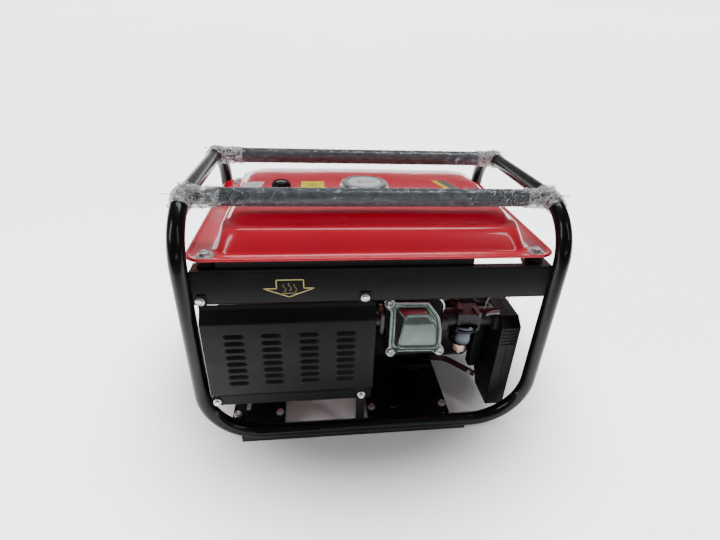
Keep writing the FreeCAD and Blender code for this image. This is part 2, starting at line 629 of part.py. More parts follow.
def cleaner_section(inset):
    """Section of the air cleaner in Y and Z: a tall box with a sloping top and a cut lower back."""
    y0, y1 = CLEANER_Y[0] + inset, CLEANER_Y[1] - inset
    z0, z1 = CLEANER_Z[0] + inset, CLEANER_Z[1] - inset
    return [(y0, z0), (y1 - 30, z0), (y1, z0 + 40), (y1, z1), (y0 + 18, z1), (y0, z1 - 14)]


def cleaner_parts():
    split = 246.0
    case = prism_x(cleaner_section(0), 228, split - 0.1).cut(prism_x(cleaner_section(2.5), 230.5, split))
    case = case.cut(rod((227, PORT_Y, PORT_Z), X_AXIS, 11, 5))
    save("air_cleaner_case", case)
    cover = prism_x(cleaner_section(0), split, 263).cut(prism_x(cleaner_section(2.5), split - 1, 260.5))
    for slot in range(5):
        z = 173 + slot * 7.5
        cover = cover.cut(block(249, 259, CLEANER_Y[0] - 1, CLEANER_Y[0] + 4, z, z + 3.5))
    save("air_cleaner_cover", cover)
    save("air_filter_element", block(231, 259, -168, -104, 86, 186))
    bar = bent_path([(150, -60, MOUNT_Z + 6), (176, -66, MOUNT_Z + 6), (218, -120, MOUNT_Z + 6)], [30])
    strip = swept(bar, 5.0)
    strip = strip.fuse(block(126, 152, -72, -50, MOUNT_Z + 9.2, MOUNT_Z + 12))
    strip = strip.fuse(rod((150, -61, MOUNT_Z + 4), Z_AXIS, 7, 8))
    strip = strip.fuse(rod((218, -120, MOUNT_Z), Z_AXIS, 8, 12)).fuse(block(212, 227.8, -128, -112, 38, 60))
    save("cleaner_bracket", strip.removeSplitter())


def blower_parts():
    shell = rod((124, 0, CRANK_Z), X_AXIS, BLOWER_R, 88).cut(rod((126, 0, CRANK_Z), X_AXIS, BLOWER_R - SHEET, 90))
    shell = shell.cut(rod((120, 0, CRANK_Z), X_AXIS, 40, 10))
    shell = shell.cut(block(120, 200, -120, 120, 0, MOUNT_Z + 12.5))
    save("blower_housing", shell)
    cup = rod((212.2, 0, CRANK_Z), X_AXIS, 86, 46).cut(rod((211, 0, CRANK_Z), X_AXIS, 84, 45))
    cup = cup.fuse(ring((212.2, 0, CRANK_Z), X_AXIS, 80, 98, 2)).removeSplitter()
    vents = []
    for step in range(24):
        vent = block(254, 262, -3, 3, 48, 74)
        vent.rotate(V(0, 0, 0), X_AXIS, step * 15)
        vent.translate(V(0, 0, CRANK_Z))
        vents.append(vent)
    cup = cup.cut(Part.makeCompound(vents))
    cup = cup.fuse(rod((236, 0, CRANK_Z), X_AXIS, 8, 22))
    cup = cup.cut(rod((GRIP[0], GRIP[1] - 30 * PULL.y, GRIP[2] - 30 * PULL.z), PULL, 5.5, 40))
    save("recoil_cover", cup.removeSplitter())
    pulley = rod((220, 0, CRANK_Z), X_AXIS, 48, 3).fuse(rod((228, 0, CRANK_Z), X_AXIS, 48, 3))
    pulley = pulley.fuse(rod((222, 0, CRANK_Z), X_AXIS, PULLEY_R - 3, 8)).fuse(rod((216, 0, CRANK_Z), X_AXIS, 24, 5))
    pulley = pulley.fuse(rod((230, 0, CRANK_Z), X_AXIS, 20, 18))
    pulley = pulley.cut(rod((235, 0, CRANK_Z), X_AXIS, 8 + RUNNING, 15))
    save("recoil_pulley", pulley.removeSplitter())
    start = V(*GRIP)
    rope = Part.makeCylinder(2.2, 34, start - PULL * 14, PULL)
    grip = Part.makeCylinder(9.0, 20, start + PULL * 20, PULL)
    across = block(-13, 13, -37, 37, 0, 20)
    upright = [edge for edge in across.Edges if edge.BoundBox.ZLength > 19]
    across = across.makeFillet(9, upright)
    across.Placement = FreeCAD.Placement(start + PULL * 24, FreeCAD.Rotation(Z_AXIS, PULL))
    save("recoil_grip", union([rope, grip, across]))


PULLEY_R = 40.0
PULL = V(0, 0.94, 0.34).normalize()
GRIP = (225.5, 66.0, 190.0)


def rotating_parts():
    shaft = rod((-258, 0, CRANK_Z), X_AXIS, SHAFT_R, 462)
    for x in (42, 78):
        shaft = shaft.fuse(rod((x, 0, CRANK_Z), X_AXIS, 34, 12))
        weight = block(x, x + 12, -30, 30, CRANK_Z - 36, CRANK_Z)
        shaft = shaft.fuse(weight)
    shaft = shaft.cut(block(54.5, 77.5, -20, 20, CRANK_Z - 20, CRANK_Z + 20))
    shaft = shaft.fuse(rod((50, 0, CRANK_Z + 20), X_AXIS, 12, 32))
    save("crankshaft", shaft.removeSplitter())

    wheel = rod((134, 0, CRANK_Z), X_AXIS, WHEEL_R, 30).cut(rod((146, 0, CRANK_Z), X_AXIS, 70, 30))
    wheel = wheel.fuse(rod((134, 0, CRANK_Z), X_AXIS, 26, 60))
    wheel = wheel.fuse(rod((160, 0, CRANK_Z), X_AXIS, WHEEL_R, 4))
    for step in range(16):
        blade = block(163, 190, -1.5, 1.5, 46, WHEEL_R - 2)
        blade.rotate(V(0, 0, 60), X_AXIS, 25)
        blade.rotate(V(0, 0, 0), X_AXIS, step * 22.5)
        blade.translate(V(0, 0, CRANK_Z))
        wheel = wheel.fuse(blade)
    wheel = wheel.fuse(ring((193, 0, CRANK_Z), X_AXIS, 27, 34, 15)).fuse(rod((192, 0, CRANK_Z), X_AXIS, 34, 3))
    wheel = wheel.cut(rod((130, 0, CRANK_Z), X_AXIS, SHAFT_R, 74))
    save("flywheel", wheel.removeSplitter())

    rotor = ring((STATOR_X0 + 2, 0, CRANK_Z), X_AXIS, SHAFT_R, ROTOR_R, STATOR_X1 - STATOR_X0 - 4)
    for y in (-1, 1):
        rotor = rotor.cut(block(-200, -90, y * 46 - 10, y * 46 + 10, CRANK_Z - 14, CRANK_Z + 14))
    rotor = rotor.fuse(ring((-62, 0, CRANK_Z), X_AXIS, SHAFT_R, 70, 3))
    rotor = rotor.fuse(ring((STATOR_X1 - 2, 0, CRANK_Z), X_AXIS, SHAFT_R, 24, -60 - STATOR_X1))
    save("rotor", rotor.removeSplitter())
    bearings = []
    for x, outer, wide in ((-246, 26, 12), (10.1, 26, 11.8), (106.1, 26, 11.8)):
        bearings.append(ring((x, 0, CRANK_Z), X_AXIS, SHAFT_R + RUNNING, outer, wide))
    save("shaft_bearings", bearings)


def alternator_parts():
    core = ring((STATOR_X0, 0, CRANK_Z), X_AXIS, ROTOR_R + 0.8, STATOR_R, STATOR_X1 - STATOR_X0)
    for step in range(4):
        rib = block(STATOR_X0, STATOR_X1, -8, 8, STATOR_R - 2, STATOR_R + 3)
        rib.rotate(V(0, 0, 0), X_AXIS, 45 + 90 * step)
        rib.translate(V(0, 0, CRANK_Z))
        core = core.fuse(rib)
    save("stator_core", core.removeSplitter())
    coils = []
    for x0 in (STATOR_X0 - 20, STATOR_X1 + 0.2):
        coils.append(ring((x0, 0, CRANK_Z), X_AXIS, ROTOR_R + 4, STATOR_R - 8, 19.8))
    save("stator_windings", coils)

    front = ring((STATOR_X1 + 0.2, 0, CRANK_Z), X_AXIS, STATOR_R - 5, STATOR_R + 3, -4 - STATOR_X1)
    front = front.fuse(ring((-8, 0, CRANK_Z), X_AXIS, 20, STATOR_R + 3, 8))
    front = front.fuse(ring((-1, 0, CRANK_Z), X_AXIS, 20, 62, 10.9))
    for step in range(12):
        window = block(-52, -18, -13, 13, STATOR_R - 12, STATOR_R + 6)
        window.rotate(V(0, 0, 0), X_AXIS, 30 * step + 15)
        window.translate(V(0, 0, CRANK_Z))
        front = front.cut(window)
    save("alternator_front_bracket", front.removeSplitter())

    rear = ring((-238, 0, CRANK_Z), X_AXIS, STATOR_R - 6, STATOR_R + 3, 41.8)
    rear = rear.fuse(ring((-250, 0, CRANK_Z), X_AXIS, 26, STATOR_R + 3, 12.2))
    rear = rear.cut(rod((-246, 0, CRANK_Z), X_AXIS, 26.02, 12))
    rear = rear.cut(Part.makeCompound([spoke_window(step) for step in range(8)]))
    foot = block(-244, -164, -84, 84, MOUNT_Z, MOUNT_Z + 8)
    foot = foot.fuse(block(-236, -200, -40, 40, MOUNT_Z + 6, MOUNT_Z + 20))
    foot = foot.cut(rod((-260, 0, CRANK_Z), X_AXIS, STATOR_R + 2, 100))
    for y in (-MOUNT_Y, MOUNT_Y):
        foot = foot.cut(rod((MOUNT_X[0], y, MOUNT_Z - 2), Z_AXIS, 4.2, 12))
    save("alternator_end_bracket", rear.fuse(foot).removeSplitter())
    cover = rod((-266, 0, CRANK_Z), X_AXIS, 70, 15.8).cut(rod((-264.5, 0, CRANK_Z), X_AXIS, 68.5, 16))
    for row in range(6):
        cover = cover.cut(block(-268, -264, -34, 34, CRANK_Z - 32 + row * 12, CRANK_Z - 28 + row * 12))
    save("alternator_end_cover", cover)


def spoke_window(step):
    window = block(-252, -236, -13, 13, 42, 68)
    window.rotate(V(0, 0, 0), X_AXIS, 45 * step)
    window.translate(V(0, 0, CRANK_Z))
    return window


def dipstick():
    start = V(*DIP)
    stick = Part.makeCylinder(6.0, 17, start - DIP_AXIS * 16, DIP_AXIS)
    stick = stick.fuse(Part.makeCylinder(2.0, 40, start - DIP_AXIS * 54, DIP_AXIS))
    stick = stick.fuse(Part.makeCylinder(12.0, 6, start + DIP_AXIS * CLEAR, DIP_AXIS))
    wing = block(-11, 11, -3, 3, 5, 16)
    wing.Placement = FreeCAD.Placement(start, FreeCAD.Rotation(Z_AXIS, DIP_AXIS))
    save("oil_dipstick", stick.fuse(wing).removeSplitter())


# ---------------------------------------------------------------- control side
def control_parts():
    depth = 31.0
    rear = block(-275, 275, PANEL_Y - SHEET, PANEL_Y, PANEL_LOW - 10, PANEL_HIGH)
    rear = rear.fuse(block(-275, 275, PANEL_Y - depth, PANEL_Y, PANEL_HIGH - SHEET, PANEL_HIGH))
    rear = rear.cut(block(-LEDGE_X, LEDGE_X, 0, PANEL_Y - LEDGE, PANEL_HIGH - 3, PANEL_HIGH + 1))
    for x in (-TANK_BOLT[0], TANK_BOLT[0]):
        rear = rear.cut(rod((x, TANK_BOLT[1], PANEL_HIGH - 3), Z_AXIS, 4.2, 6))
    save("rear_panel", rear.removeSplitter())

    box = block(BOX_X[0], BOX_X[1], 163, CONTROL_Y, BOX_Z[0], BOX_Z[1])
    box = box.cut(block(BOX_X[0] + 2, BOX_X[1] - 2, 165, CONTROL_Y - 3, BOX_Z[0] + 2, BOX_Z[1] - 2))
    for x in OUTLET_X:
        box = box.cut(rod((x, CONTROL_Y - 5, OUTLET_Z), Y_AXIS, 21.2, 10))
    box = box.cut(rod((BREAKER[0], CONTROL_Y - 5, BREAKER[1]), Y_AXIS, 6.3, 10))
    box = box.cut(block(SWITCH[0] - 8.3, SWITCH[0] + 8.3, CONTROL_Y - 5, CONTROL_Y + 5,
                        SWITCH[1] - 12.3, SWITCH[1] + 12.3))
    save("control_box", box)

    outlets = []
    for x in OUTLET_X:
        cup = rod((x, CONTROL_Y - 20, OUTLET_Z), Y_AXIS, 21, 20).fuse(rod((x, CONTROL_Y, OUTLET_Z), Y_AXIS, 27, 5))
        cup = cup.cut(rod((x, CONTROL_Y - 16, OUTLET_Z), Y_AXIS, 19, 25))
        for pin in (-9.5, 9.5):
            cup = cup.cut(rod((x + pin, CONTROL_Y - 21, OUTLET_Z), Y_AXIS, 2.6, 8))
        outlets.append(cup)
    save("socket_outlets", outlets)

    save("breaker_button", rod((BREAKER[0], CONTROL_Y - 12, BREAKER[1]), Y_AXIS, 6.0, 16).fuse(
        rod((BREAKER[0], CONTROL_Y - 14, BREAKER[1]), Y_AXIS, 8.0, 4)))
    pivot_y = CONTROL_Y - 6
    profile = [(-6, -8), (6, -9), (4.5, 0), (8, 8.5), (-6, 8)]
    rocker = prism_x([(pivot_y + y, SWITCH[1] + z) for y, z in profile], SWITCH[0] - 8, SWITCH[0] + 8)
    save("engine_switch", rocker.cut(rod((SWITCH[0] - 9, pivot_y, SWITCH[1]), X_AXIS, 1.5, 18)))


BOX_X = (-258.0, 40.0)
BOX_Z = (186.0, 288.0)
OUTLET_X = (-206.0, -136.0)
OUTLET_Z = 236.0
BREAKER = (-70.0, 236.0)
SWITCH = (0.0, 236.0)


def main():
    os.makedirs("parts", exist_ok=True)
    frame_parts()
    rubbers, bolts = foot_parts()
    panel_parts()
    muffler_parts()
    tank_parts(rubbers, bolts)
    gauge_parts()
    fuel_line()
    case = crankcase()
    save("crankcase", case)
    save("cylinder_barrel", cylinder_barrel().cut(case))
    head_parts()
    ignition_parts()
    carburettor_parts()
    cleaner_parts()
    blower_parts()
    rotating_parts()
    alternator_parts()
    dipstick()
    control_parts()


main()
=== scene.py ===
import json
import math
import random

import bmesh
import bpy
from mathutils import Matrix, Vector, noise
from mathutils.bvhtree import BVHTree


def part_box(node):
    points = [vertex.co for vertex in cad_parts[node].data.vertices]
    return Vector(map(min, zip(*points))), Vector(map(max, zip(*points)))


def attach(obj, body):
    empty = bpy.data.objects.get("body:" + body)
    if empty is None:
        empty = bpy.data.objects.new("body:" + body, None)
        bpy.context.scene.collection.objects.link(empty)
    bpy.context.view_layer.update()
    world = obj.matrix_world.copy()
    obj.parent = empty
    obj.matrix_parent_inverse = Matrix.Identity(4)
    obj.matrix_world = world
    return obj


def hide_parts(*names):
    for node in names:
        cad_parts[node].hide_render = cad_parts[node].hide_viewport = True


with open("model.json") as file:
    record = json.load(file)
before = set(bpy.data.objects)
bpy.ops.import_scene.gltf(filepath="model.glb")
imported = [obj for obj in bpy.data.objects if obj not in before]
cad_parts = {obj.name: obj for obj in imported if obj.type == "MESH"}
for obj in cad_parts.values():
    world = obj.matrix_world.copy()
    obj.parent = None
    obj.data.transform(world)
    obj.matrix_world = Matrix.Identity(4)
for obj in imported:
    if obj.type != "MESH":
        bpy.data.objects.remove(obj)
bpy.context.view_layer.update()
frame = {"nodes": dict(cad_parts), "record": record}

MM = 0.001
TAU = 2 * math.pi
show = bpy.context.scene.collection.objects.link
SLOTS = {sub["node"]: sub["material_slot"] for sub in frame["record"]["subparts"]}
BODY_OF = {node: body for body, nodes in frame["record"]["behaviour"]["bodies"].items() for node in nodes}
JOINT_PLACE = {joint["name"]: joint.get("pos_m") for joint in frame["record"]["behaviour"]["joints"]}


def span(node):
    """Lowest and highest corner of a CAD node at rest, to the half millimetre, which evens out facets."""
    return [Vector(round(value / MM * 2) / 2 for value in corner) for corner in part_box(node)]


def middle(node):
    low, high = span(node)
    return (low + high) / 2


# ---------- camera
CAMERA_PLACE = Vector((-94.3, -775.4, 650.2)) * MM
CAMERA_YAW = 0.143659
CAMERA_PITCH = 0.512319
CAMERA_ROLL = 0.051296
CAMERA_LENS = 21.82
CAMERA_SHIFT = (-0.0160, 0.0116)


def add_camera():
    """Camera at the viewing angle: yaw to the right of +Y, pitch down, roll about its own axis."""
    ahead = Vector((math.sin(CAMERA_YAW) * math.cos(CAMERA_PITCH),
                    math.cos(CAMERA_YAW) * math.cos(CAMERA_PITCH), -math.sin(CAMERA_PITCH)))
    level = Vector((math.cos(CAMERA_YAW), -math.sin(CAMERA_YAW), 0))
    upward = level.cross(ahead)
    right = level * math.cos(CAMERA_ROLL) + upward * math.sin(CAMERA_ROLL)
    up = upward * math.cos(CAMERA_ROLL) - level * math.sin(CAMERA_ROLL)
    data = bpy.data.cameras.new("camera")
    data.lens = CAMERA_LENS
    data.sensor_width = 36
    data.shift_x, data.shift_y = CAMERA_SHIFT
    data.clip_start = 0.01
    camera = bpy.data.objects.new("camera", data)
    turn = Matrix((right, up, -ahead)).transposed().to_4x4()
    camera.matrix_world = Matrix.Translation(CAMERA_PLACE) @ turn
    show(camera)
    bpy.context.scene.camera = camera


# ---------- light and floor
def add_area(name, place, target, size, power, colour=(1, 1, 1)):
    data = bpy.data.lights.new(name, "AREA")
    data.shape = "RECTANGLE"
    data.size, data.size_y = size
    data.energy = power
    data.color = colour
    lamp = bpy.data.objects.new(name, data)
    aim = (Vector(target) - Vector(place)).to_track_quat("-Z", "Y")
    lamp.matrix_world = Matrix.Translation(place) @ aim.to_matrix().to_4x4()
    show(lamp)


def add_studio():
    world = bpy.data.worlds.new("studio")
    world.use_nodes = True
    background = world.node_tree.nodes["Background"]
    background.inputs["Color"].default_value = (0.93, 0.95, 1.0, 1)
    background.inputs["Strength"].default_value = 0.12
    bpy.context.scene.world = world
    add_area("ceiling", (0.1, 0.45, 2.3), (0, 0, 0.2), (1.8, 0.6), 28)
    add_area("window", (-1.7, -0.9, 1.6), (0, 0, 0.25), (0.5, 1.2), 15)
    add_area("strip", (1.5, -1.5, 1.9), (0.1, 0, 0.2), (0.25, 1.4), 8)
    add_area("low_window", (0.5, -2.3, 0.63), (0.07, -0.19, 0.2), (1.2, 0.26), 2.2, (0.94, 1.0, 0.95))

    profile = [(-7, 0), (-0.9, 0), (-0.6, 0), (0.6, 0), (0.9, 0), (2.6, 0)]
    profile += [(2.6 + 1.6 * math.sin(step * math.pi / 24), 1.6 - 1.6 * math.cos(step * math.pi / 24))
                for step in range(1, 13)]
    profile.append((4.2, 9))
    rings = [[Vector((x, y, z)) for y, z in profile] for x in (-9, -0.8, 0.8, 9)]
    backdrop = skin("backdrop", rings, around=False, caps=False, sharp=3.0)
    backdrop.data.materials.append(FINISH["backdrop"])


# ---------- materials
class Shader:
    """A Principled material with short helpers for the nodes that feed it."""

    def __init__(self, name):
        self.material = bpy.data.materials.new(name)
        self.material.use_nodes = True
        self.tree = self.material.node_tree
        self.principled = self.tree.nodes["Principled BSDF"]
        self.place = self.tree.nodes.new("ShaderNodeTexCoord").outputs["Object"]

    def node(self, kind, settings=None, **inputs):
        made = self.tree.nodes.new(kind)
        for key, value in (settings or {}).items():
            setattr(made, key, value)
        for key, value in inputs.items():
            self.feed(made, key, value)
        return made

    def feed(self, node, key, value):
        socket = node.inputs[int(key[1:])] if key[0] == "_" else node.inputs[key.replace("_", " ")]
        if isinstance(value, bpy.types.NodeSocket):
            self.tree.links.new(value, socket)
        else:
            socket.default_value = value

    def noise(self, scale, detail=4.0, rough=0.55, stretch=None):
        place = self.place
        if stretch:
            place = self.node("ShaderNodeMapping", Vector=place, Scale=stretch).outputs[0]
        made = self.node("ShaderNodeTexNoise", Vector=place, Scale=scale, Detail=detail, Roughness=rough)
        return made.outputs["Fac"]

    def remap(self, value, low, high, to_low, to_high):
        made = self.node("ShaderNodeMapRange", _0=value, _1=low, _2=high, _3=to_low, _4=to_high)
        return made.outputs[0]

    def mix(self, factor, first, second):
        made = self.node("ShaderNodeMix", {"data_type": "RGBA"}, _0=factor, _6=first, _7=second)
        return made.outputs[2]

    def maths(self, kind, first, second=0.0):
        return self.node("ShaderNodeMath", {"operation": kind}, _0=first, _1=second).outputs[0]

    def bump(self, height, strength, distance, under=None):
        made = self.node("ShaderNodeBump", Height=height, Strength=strength, Distance=distance)
        if under is not None:
            self.feed(made, "Normal", under)
        return made.outputs[0]

    def set(self, **inputs):
        for key, value in inputs.items():
            self.feed(self.principled, key, value)


def rgba(colour, share=1.0):
    return (colour[0] * share, colour[1] * share, colour[2] * share, 1.0)


def plain(name, colour, roughness, metallic=0.0, coat=0.0, coat_rough=0.05, vary=0.14, blotch=9.0,
          grain=900.0, grain_height=0.02, dust=0.0, dust_colour=(0.32, 0.31, 0.29), specular=0.5):
    """Moulded, painted or cast surface: blotches in colour and gloss, fine grain and settled dust."""
    shade = Shader(name)
    cloud = shade.noise(blotch, 5.0)
    fine = shade.noise(grain, 3.0)
    base = shade.mix(shade.remap(cloud, 0.3, 0.7, 0.0, 1.0), rgba(colour, 1 - vary), rgba(colour, 1 + vary))
    if dust:
        up = shade.node("ShaderNodeSeparateXYZ",
                        _0=shade.node("ShaderNodeNewGeometry").outputs["Normal"]).outputs[2]
        settled = shade.maths("MULTIPLY", shade.remap(up, 0.2, 1.0, 0.0, dust), shade.remap(
            shade.noise(38.0, 6.0, 0.7), 0.42, 0.72, 0.15, 1.0))
        base = shade.mix(settled, base, rgba(dust_colour))
    rough = shade.remap(shade.noise(blotch * 3.1, 6.0, 0.65), 0.3, 0.72, roughness * 0.82,
                        min(1.0, roughness * 1.25))
    shade.set(Base_Color=base, Roughness=rough, Metallic=metallic, Specular_IOR_Level=specular,
              Normal=shade.bump(fine, grain_height * 10, 0.0004))
    if coat:
        shade.set(Coat_Weight=coat, Coat_Roughness=coat_rough)
    return shade.material


# ---------- meshes
def mesh_object(name, points, faces, smooth=True, sharp=0.6):
    data = bpy.data.meshes.new(name)
    data.from_pydata([tuple(point) for point in points], [], faces)
    data.validate()
    data.polygons.foreach_set("use_smooth", [smooth] * len(data.polygons))
    if smooth:
        data.set_sharp_from_angle(angle=sharp)
    piece = bpy.data.objects.new(name, data)
    show(piece)
    return piece


def skin(name, rings, around=True, along=False, caps=True, sharp=0.6):
    """Surface through rings of equally many points; around closes each ring, along closes the row."""
    count = len(rings[0])
    points = [point for ring in rings for point in ring]
    faces = []
    rows = len(rings) if along else len(rings) - 1
    columns = count if around else count - 1
    for row in range(rows):
        here = row * count
        there = (row + 1) % len(rings) * count
        for column in range(columns):
            beside = (column + 1) % count
            faces.append((here + column, here + beside, there + beside, there + column))
    if caps and around and not along:
        faces.append(tuple(range(count))[::-1])
        faces.append(tuple((len(rings) - 1) * count + index for index in range(count)))
    return mesh_object(name, points, faces, sharp=sharp)


def frame_along(axis):
    axis = Vector(axis).normalized()
    side = axis.cross(Vector((0, 0, 1)) if abs(axis.z) < 0.9 else Vector((1, 0, 0))).normalized()
    return side, axis.cross(side)


def lathe(name, start, axis, profile, count=48, caps=True, sharp=0.6):
    """Turned piece; the profile is (distance along the axis, radius), in millimetres."""
    side, up = frame_along(axis)
    axis = Vector(axis).normalized()
    rings = []
    for reach, radius in profile:
        centre = Vector(start) + axis * reach
        rings.append([(centre + (side * math.cos(TAU * index / count) + up * math.sin(TAU * index / count))
                       * radius) * MM for index in range(count)])
    return skin(name, rings, caps=caps, sharp=sharp)


def arc_route(points, radii, steps=16, closed=False):
    """Points along straight runs joined by tangent arcs, one radius for each inner corner."""
    points = [Vector(point) for point in points]
    corners = range(len(points)) if closed else range(1, len(points) - 1)
    route = [] if closed else [points[0]]
    for index in corners:
        corner = points[index]
        radius = radii[index] if closed else radii[index - 1]
        back = (points[index - 1] - corner).normalized()
        ahead = (points[(index + 1) % len(points)] - corner).normalized()
        half = back.angle(ahead) / 2
        reach = radius / math.tan(half)
        centre = corner + (back + ahead).normalized() * (radius / math.sin(half))
        first = corner + back * reach - centre
        last = corner + ahead * reach - centre
        turn = first.angle(last)
        for step in range(steps + 1):
            share = step / steps
            arm = first * math.sin((1 - share) * turn) + last * math.sin(share * turn)
            route.append(centre + arm / math.sin(turn))
    if not closed:
        route.append(points[-1])
    return route


def dense(route, spacing, closed=False):
    """The same route with no step longer than the spacing."""
    result = []
    count = len(route)
    for index in range(count if closed else count - 1):
        here, there = route[index], route[(index + 1) % count]
        steps = max(1, math.ceil((there - here).length / spacing))
        result += [here.lerp(there, step / steps) for step in range(steps)]
    if not closed:
        result.append(route[-1])
    return result


def sweep(name, route, radius, count=24, closed=False, sharp=0.6, squash=1.0):
    """Tube along a route in millimetres; radius is a number or a function of (share, angle)."""
    total = len(route)
    rings = []
    side = None
    for index, place in enumerate(route):
        before = route[index - 1] if index or closed else route[0]
        after = route[(index + 1) % total] if index < total - 1 or closed else route[-1]
        along = (after - before).normalized()
        if side is None:
            side = frame_along(along)[0]
        side = (side - along * side.dot(along)).normalized()
        up = along.cross(side)
        ring = []
        for step in range(count):
            angle = TAU * step / count
            reach = radius(index / max(1, total - 1), angle) if callable(radius) else radius
            ring.append((place + side * math.cos(angle) * reach
                         + up * math.sin(angle) * reach * squash) * MM)
        rings.append(ring)
    return skin(name, rings, along=closed, sharp=sharp)


def rounded_ring(half_x, half_y, corner, z, centre=(0, 0), arc=14, side=18):
    """Level ring of points on a rectangle with round corners, in millimetres."""
    ring = []
    signs = ((1, -1, -90), (1, 1, 0), (-1, 1, 90), (-1, -1, 180))
    spots = []
    for sign_x, sign_y, first in signs:
        cx = centre[0] + sign_x * (half_x - corner)
        cy = centre[1] + sign_y * (half_y - corner)
        spots.append([(cx + corner * math.cos(math.radians(first + 90 * step / arc)),
                       cy + corner * math.sin(math.radians(first + 90 * step / arc)))
                      for step in range(arc + 1)])
    for index, spot in enumerate(spots):
        ring += spot
        x0, y0 = spot[-1]
        x1, y1 = spots[(index + 1) % 4][0]
        ring += [(x0 + (x1 - x0) * step / side, y0 + (y1 - y0) * step / side) for step in range(1, side)]
    return [Vector((x, y, z)) * MM for x, y in ring]


def join(name, pieces):
    """Several pieces of one material as a single object."""
    work = bmesh.new()
    for piece in pieces:
        work.from_mesh(piece.data)
        bpy.data.objects.remove(piece)
    data = bpy.data.meshes.new(name)
    work.to_mesh(data)
    work.free()
    whole = bpy.data.objects.new(name, data)
    show(whole)
    return whole


def bevel(piece, width, segments=2, angle=0.6):
    modifier = piece.modifiers.new("bevel", "BEVEL")
    modifier.width = width * MM
    modifier.segments = segments
    modifier.limit_method = "ANGLE"
    modifier.angle_limit = angle
    modifier.harden_normals = True
    return piece


def box_piece(name, x0, x1, y0, y1, z0, z1, width=0.6):
    points = [Vector((x, y, z)) * MM for z in (z0, z1) for x, y in ((x0, y0), (x1, y0), (x1, y1), (x0, y1))]
    faces = [(3, 2, 1, 0), (4, 5, 6, 7), (0, 1, 5, 4), (1, 2, 6, 5), (2, 3, 7, 6), (3, 0, 4, 7)]
    return bevel(mesh_object(name, points, faces), width)


def refined(node, width=0.8):
    """A CAD node's own shape with rounded edges."""
    data = frame["nodes"][node].data.copy()
    work = bmesh.new()
    work.from_mesh(data)
    bmesh.ops.remove_doubles(work, verts=work.verts, dist=0.00002)
    bmesh.ops.dissolve_limit(work, angle_limit=0.02, verts=work.verts, edges=work.edges)
    work.to_mesh(data)
    work.free()
    data.polygons.foreach_set("use_smooth", [True] * len(data.polygons))
    data.set_sharp_from_angle(angle=0.55)
    piece = bpy.data.objects.new("fine_" + node, data)
    show(piece)
    bevel(piece, width)
    return wear(piece, SLOTS[node], node)


def wear(piece, slot, *nodes, body=None, material=None):
    """Give a piece its finish and body, and hide the CAD nodes it stands for."""
    piece.data.materials.clear()
    piece.data.materials.append(material or MATERIALS[slot])
    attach(piece, body or (BODY_OF[nodes[0]] if nodes else "frame"))
    if nodes:
        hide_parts(*nodes)
    return piece


def ridged(point, octaves=3):
    """Sharp creases, from 0 to about 1."""
    total, size = 0.0, 1.0
    for _ in range(octaves):
        total += size * (1 - min(1.0, abs(noise.noise(point)) * 2.4))
        point = point * 2.03
        size *= 0.5
    return total / 1.75


# ---------- frame tubes, sleeves and film
ARCH_LOW, ARCH_HIGH = span("frame_left_arch")
BARS_HIGH = span("handle_bars")[1]
SLEEVES_HIGH = span("bar_sleeves")[1]
TUBE_R = (ARCH_HIGH.x - ARCH_LOW.x) / 2
TUBE_X = -(ARCH_LOW.x + ARCH_HIGH.x) / 2
TUBE_Y = ARCH_HIGH.y - TUBE_R
LOW_Z = span("frame_front_tube")[0].z + TUBE_R
TOP_Z = ARCH_HIGH.z - TUBE_R
BAR_Z = middle("handle_bars").z
BAR_R = BARS_HIGH.z - BAR_Z
BAR_Y = BARS_HIGH.y - BAR_R
SLEEVE_R = SLEEVES_HIGH.y - BAR_Y
SLEEVE_HALF = SLEEVES_HIGH.x
LOWER_BEND, UPPER_BEND = 96, 84
STRANDS, STRAND_PITCH, STRAND_R = 16, 62, 0.55


def build_frame():
    corners = []
    radii = []
    for x, y, z in ((-1, -1, LOW_Z), (1, -1, LOW_Z), (1, -1, TOP_Z), (1, 1, TOP_Z),
                    (1, 1, LOW_Z), (-1, 1, LOW_Z), (-1, 1, TOP_Z), (-1, -1, TOP_Z)):
        corners.append((x * TUBE_X, y * TUBE_Y, z))
        radii.append(LOWER_BEND if z == LOW_Z else UPPER_BEND)
    route = dense(arc_route(corners, radii, 24, closed=True), 25, closed=True)
    tube = sweep("frame_loop", route, TUBE_R, 36, closed=True)
    wear(tube, "frame_paint", "frame_front_tube", "frame_rear_tube", "frame_left_arch", "frame_right_arch")
    beads = []
    for x in (-1, 1):
        for y in (-1, 1):
            start = (x * 279.0, y * BAR_Y, BAR_Z)
            weld = [(-8, 14.5), (-3, 13.9), (0, 12.6), (3, 11.3), (5, 10.9)]
            beads.append(lathe("bead", start, (-x, 0, 0), weld))
    half = TUBE_X - 6.5
    profile = [(0, BAR_R - 0.1), (0.2, BAR_R), (2 * half - 0.2, BAR_R), (2 * half, BAR_R - 0.1)]
    bars = [lathe("bar", (-half, y * BAR_Y, BAR_Z), (1, 0, 0), profile) for y in (-1, 1)]
    wear(join("handle_rods", beads + bars), "frame_paint", "handle_bars")


